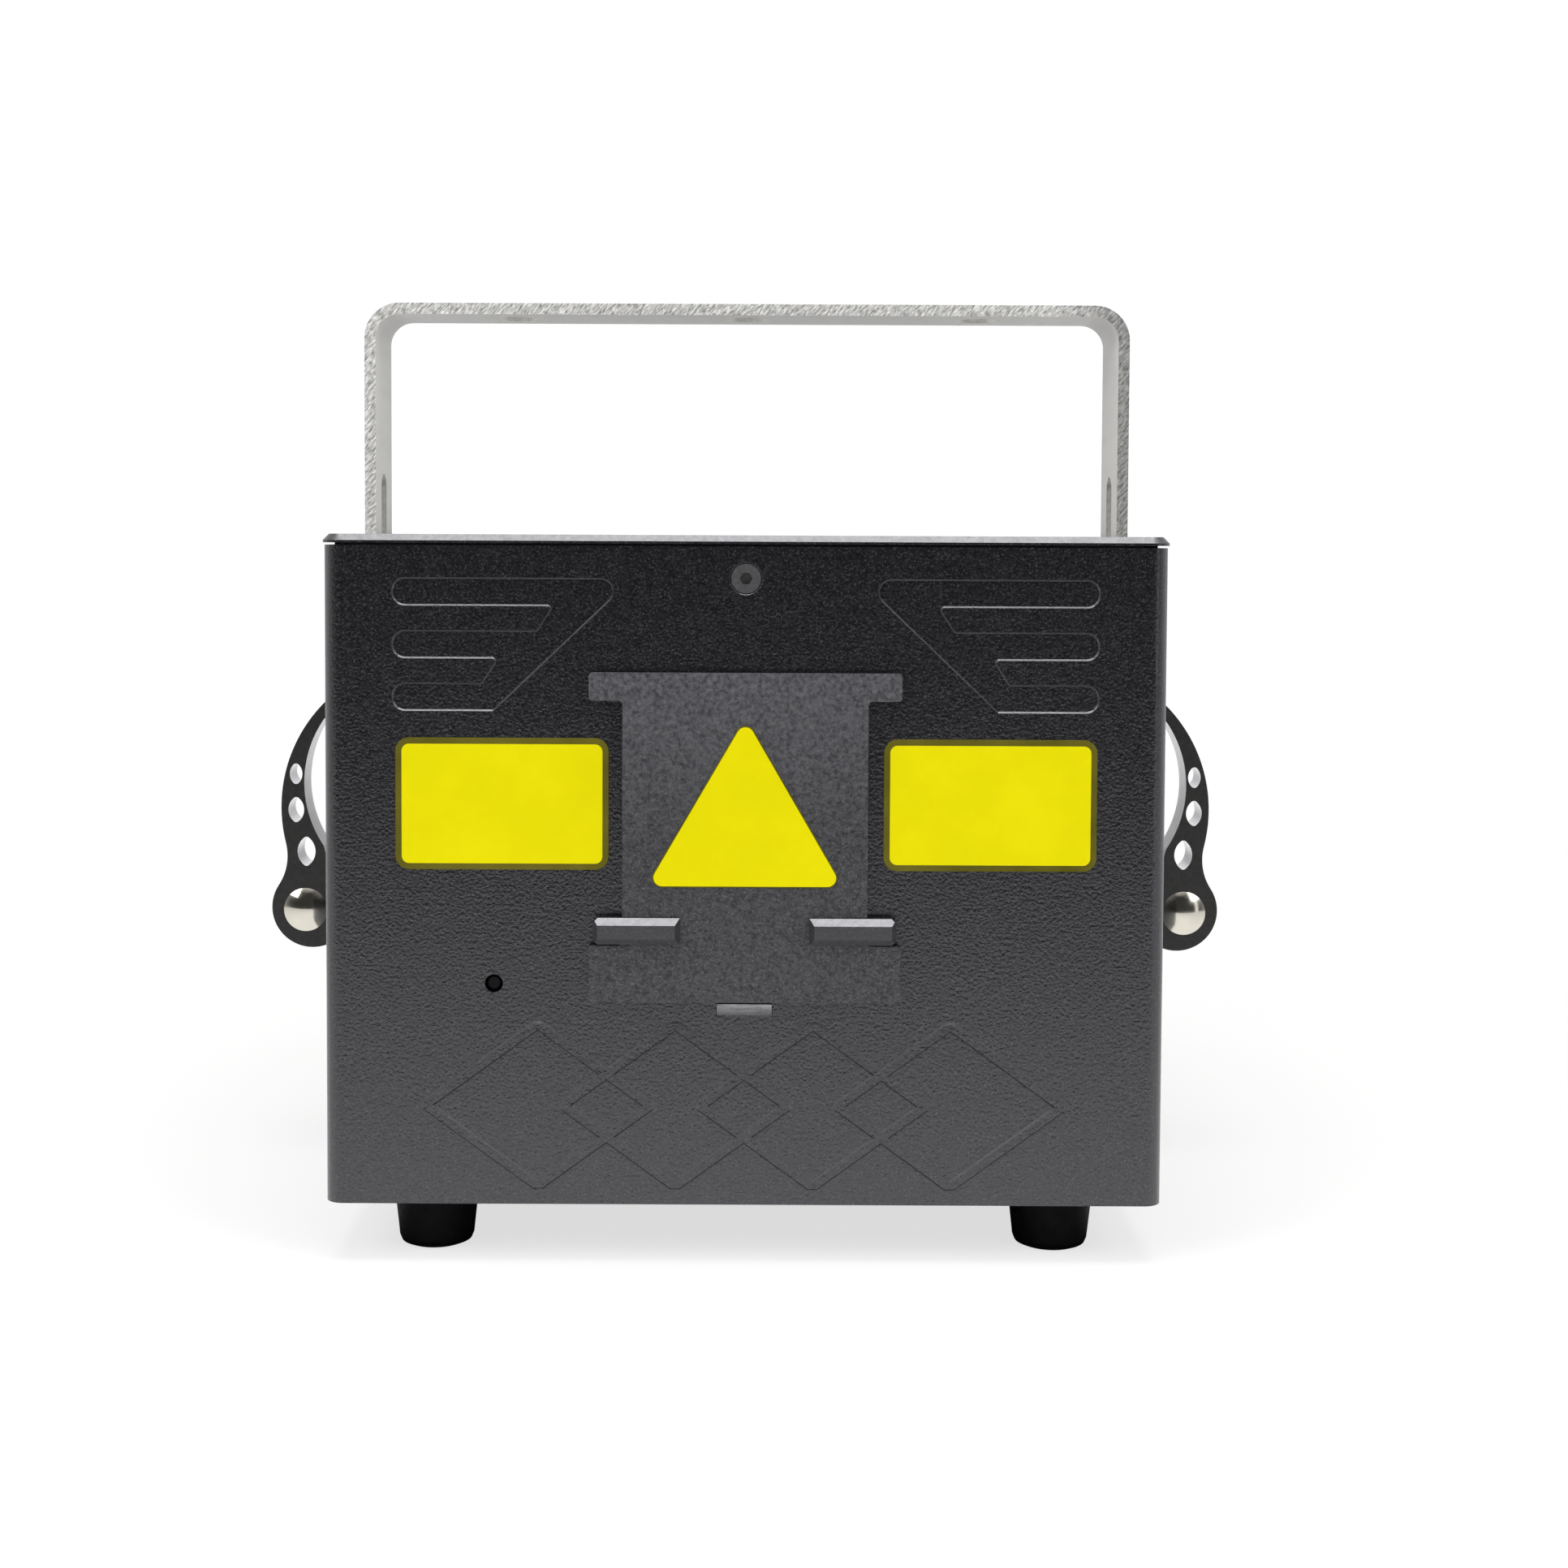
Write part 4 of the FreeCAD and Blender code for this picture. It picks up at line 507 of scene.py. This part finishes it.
PLASTICS = {
    "foot_rubber": dict(tones=((0.002, 0.002, 0.0025), (0.004, 0.004, 0.0045)), roughness=0.6, specular=0.06),
    "lamp_lens": dict(tones=((0.001, 0.001, 0.001), (0.002, 0.002, 0.002)), roughness=0.15, specular=0.12),
    "clamp_plastic": dict(tones=((0.012, 0.012, 0.012), (0.022, 0.022, 0.022)), roughness=0.5),
    "board_resin": dict(tones=((0.01, 0.07, 0.025), (0.02, 0.11, 0.045)), roughness=0.4),
    "moulded_black": dict(tones=((0.008, 0.008, 0.008), (0.016, 0.016, 0.016)), roughness=0.45),
    "rocker_red": dict(tones=((0.3, 0.012, 0.01), (0.42, 0.025, 0.02)), roughness=0.28),
    "button_grey": dict(tones=((0.05, 0.05, 0.053), (0.085, 0.085, 0.09)), roughness=0.42),
    "display_face": dict(tones=((0.004, 0.006, 0.012), (0.008, 0.011, 0.02)), roughness=0.12,
                         depth=0.004 * MM),
}
PANES = {
    "window_glass": dict(tint=(0.82, 0.88, 0.9), roughness=0.03),
    "filter_glass": dict(tint=(0.65, 0.5, 0.75), roughness=0.02),
}
OWN = {"bracket_aluminium": sawn_aluminium, "lever_black": lever_finish}
FAMILIES = ((powder_coat, PAINTS), (metal, METALS), (moulded, PLASTICS), (glassy, PANES))
YELLOW = ((0.67, 0.6, 0.0), (0.72, 0.645, 0.0))
OLIVE = ((0.08, 0.07, 0.006), (0.135, 0.118, 0.014))

materials = {name: make(name) for name, make in OWN.items()}
for make, finishes in FAMILIES:
    materials.update({name: make(name, **look) for name, look in finishes.items()})
yellow = plate_paint("plate_yellow", YELLOW)
rim_olive = plate_paint("plate_rim", OLIVE)

# The bent sheet shows its pressed front, so it has a finish of its own in place of its slot's
FINISH_OF = {"main_shell": "shell_paint"}


def dress_nodes():
    """Give every CAD node the material of its slot, or its own."""
    for part in frame["record"]["subparts"]:
        obj = frame["nodes"][part["node"]]
        slot = FINISH_OF.get(part["node"], part["material_slot"])
        obj.data.materials.clear()
        obj.data.materials.append(materials[slot])


def rounded_outline(corners, radius, inset):
    """Points of a convex outline with round corners, drawn in by an inset; corners run anticlockwise."""
    points = []
    for i, corner in enumerate(corners):
        before = (corner - corners[i - 1]).normalized()
        after = (corners[(i + 1) % len(corners)] - corner).normalized()
        first = Vector((before.y, -before.x))
        last = Vector((after.y, -after.x))
        turn = first.angle_signed(last)
        bisector = (first + last).normalized()
        centre = corner - bisector * (radius / math.cos(turn / 2))
        start = math.atan2(first.y, first.x)
        for step in range(ARC_STEPS + 1):
            angle = start + abs(turn) * step / ARC_STEPS
            points.append(centre + Vector((math.cos(angle), math.sin(angle))) * (radius - inset))
    return points


def bare_plate(name, corners, radius, rim, base_y):
    """Thin plate with a softened edge and a dark rim round a plain face."""
    mesh = bmesh.new()
    face_y = base_y - PLATE_THICKNESS
    levels = ((0.0, base_y), (0.0, face_y + PLATE_EDGE), (PLATE_EDGE, face_y), (rim, face_y))
    rings = []
    for inset, y in levels:
        outline = rounded_outline(corners, radius, inset)
        rings.append([mesh.verts.new((p.x, y, p.y)) for p in outline])
    for lower, upper in zip(rings, rings[1:]):
        for i in range(len(lower)):
            mesh.faces.new((lower[i - 1], lower[i], upper[i], upper[i - 1]))
    mesh.faces.new(rings[-1]).material_index = 1
    mesh.faces.new(list(reversed(rings[0])))
    bmesh.ops.recalc_face_normals(mesh, faces=mesh.faces)
    data = bpy.data.meshes.new(name)
    mesh.to_mesh(data)
    mesh.free()
    data.materials.append(rim_olive)
    data.materials.append(yellow)
    obj = bpy.data.objects.new(name, data)
    bpy.context.scene.collection.objects.link(obj)
    return obj


def make_plates():
    """Two bare plates on the front panel and a bare triangle on the shutter."""
    z = lid_top - PLATE_DROP
    wide, tall = PLATE_HALF
    for name, x in zip(("plate_left", "plate_right"), PLATE_X):
        corners = [Vector((x + sx * wide, z + sz * tall)) for sx, sz in ((-1, -1), (1, -1), (1, 1), (-1, 1))]
        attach(bare_plate(name, corners, PLATE_ROUND, PLATE_RIM, panel_y), "housing")
    low = lid_top - TRIANGLE_BOTTOM
    high = lid_top - TRIANGLE_TOP
    corners = [Vector((-TRIANGLE_HALF, low)), Vector((TRIANGLE_HALF, low)), Vector((0.0, high))]
    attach(bare_plate("plate_triangle", corners, TRIANGLE_ROUND, TRIANGLE_RIM, shutter_face), "shutter")


def floor_white():
    """White that keeps the object's shadow and glows bright in reflections, except under the case, where a
    painted shadow keeps it dark.
    """
    shader = Shader("floor_white", FLOOR_ROUGHNESS, specular=FLOOR_SPECULAR)
    shader.feed("Base Color", shader.ramp(shader.noise(FLOOR_TONE_SCALE), NOISE_BAND, FLOOR_TONES))
    light = shader.add("ShaderNodeLightPath")
    camera_ray = light.outputs["Is Camera Ray"]
    glossy_ray = light.outputs["Is Glossy Ray"]
    reach = shader.reach()
    beside = shader.math("ABSOLUTE", shader.part("Object", "X"))
    # Painted shadow: in reflections the floor is black under the case, and outside it glows up to 1.3 times
    # white near the object.
    open_floor = shader.spread(beside, (case_side - FLOOR_SHADE, case_side))
    for edge, outward in ((panel_y, -1), (case_back, 1)):
        beyond = shader.spread(shader.part("Object", "Y"), (edge - outward * FLOOR_SHADE, edge))
        open_floor = shader.math("MAXIMUM", open_floor, beyond)
    mirrored = shader.math("MULTIPLY", open_floor, shader.spread(reach, FLOOR_FADE, FLOOR_MIRRORED))
    mirrored = shader.math("MULTIPLY", mirrored, glossy_ray)
    seen = shader.math("MULTIPLY", camera_ray, shader.spread(reach, FLOOR_FADE, (FLOOR_GLOW, 1.0)))
    glow = shader.add("ShaderNodeEmission")
    mixed = shader.add("ShaderNodeMixShader")
    shader.put(shader.math("MAXIMUM", camera_ray, mirrored), glow.inputs["Strength"])
    shader.put(shader.math("MAXIMUM", seen, glossy_ray), mixed.inputs["Fac"])
    shader.put(shader.bsdf.outputs["BSDF"], mixed.inputs[1])
    shader.put(glow.outputs["Emission"], mixed.inputs[2])
    shader.put(mixed.outputs["Shader"], shader.tree.nodes["Material Output"].inputs["Surface"])
    return shader.material


def make_floor():
    """Table under the object."""
    mesh = bpy.data.meshes.new("floor")
    outline = (
        (-FLOOR_HALF, FLOOR_FRONT),
        (FLOOR_HALF, FLOOR_FRONT),
        (FLOOR_HALF, FLOOR_BACK),
        (-FLOOR_HALF, FLOOR_BACK),
    )
    mesh.from_pydata([(x, y, 0.0) for x, y in outline], [], [(0, 1, 2, 3)])
    floor = bpy.data.objects.new("floor", mesh)
    bpy.context.scene.collection.objects.link(floor)
    mesh.materials.append(floor_white())


def make_world():
    """White surroundings for the camera, a room that is dim in front for gloss, and a soft light level."""
    world = bpy.data.worlds.new("studio")
    world.use_nodes = True
    bpy.context.scene.world = world
    nodes = Nodes(world.node_tree)
    path = nodes.add("ShaderNodeLightPath")
    back = nodes.spread(nodes.part("Generated", "Y"), ROOM_BACK_BAND, (ROOM_FRONT, 1.0))
    left = nodes.spread(nodes.part("Generated", "X"), ROOM_LEFT_BAND, (ROOM_LEFT, 0.0))
    ceiling = nodes.spread(nodes.part("Generated", "Z"), ROOM_CEILING_BAND)
    room = nodes.math("MAXIMUM", nodes.math("MAXIMUM", back, left), ceiling)
    seen = nodes.math("MAXIMUM", path.outputs["Is Camera Ray"], path.outputs["Is Transmission Ray"])
    unseen = nodes.mix(path.outputs["Is Glossy Ray"], ROOM_LIGHT, room, kind="FLOAT")
    background = nodes.tree.nodes["Background"]
    nodes.put(nodes.mix(seen, unseen, BACKDROP, kind="FLOAT"), background.inputs["Strength"])
    background.inputs["Color"].default_value = (1.0, 1.0, 1.0, 1.0)


def make_lamp(name, place, target, size, power):
    """Soft rectangular lamp aimed at a point."""
    lamp = bpy.data.lights.new(name, "AREA")
    lamp.shape = "RECTANGLE"
    lamp.size, lamp.size_y = size
    lamp.energy = power
    obj = bpy.data.objects.new(name, lamp)
    obj.location = place
    obj.rotation_euler = (Vector(target) - Vector(place)).to_track_quat("-Z", "Y").to_euler()
    bpy.context.scene.collection.objects.link(obj)


def make_camera():
    """Camera at the photograph's view: level with the lid's top, in front of the panel."""
    camera = bpy.data.cameras.new("camera")
    camera.sensor_width = SENSOR
    camera.lens = SENSOR * FOCAL_PX / FRAME_PX
    camera.shift_x = 0.5 - CENTRE_PX[0] / FRAME_PX
    camera.shift_y = CENTRE_PX[1] / FRAME_PX - 0.5
    obj = bpy.data.objects.new("camera", camera)
    pitch = Matrix.Rotation(math.radians(90.0 - CAMERA_PITCH), 4, "X")
    roll = Matrix.Rotation(math.radians(CAMERA_ROLL), 4, "Z")
    obj.matrix_world = Matrix.Translation((0.0, panel_y - CAMERA_DISTANCE, lid_top)) @ pitch @ roll
    bpy.context.scene.collection.objects.link(obj)
    bpy.context.scene.camera = obj


dress_nodes()
make_plates()
make_floor()
make_world()
for lamp_name, settings in LAMPS.items():
    make_lamp(lamp_name, *settings)
make_camera()
bpy.context.scene.view_settings.view_transform = "Standard"
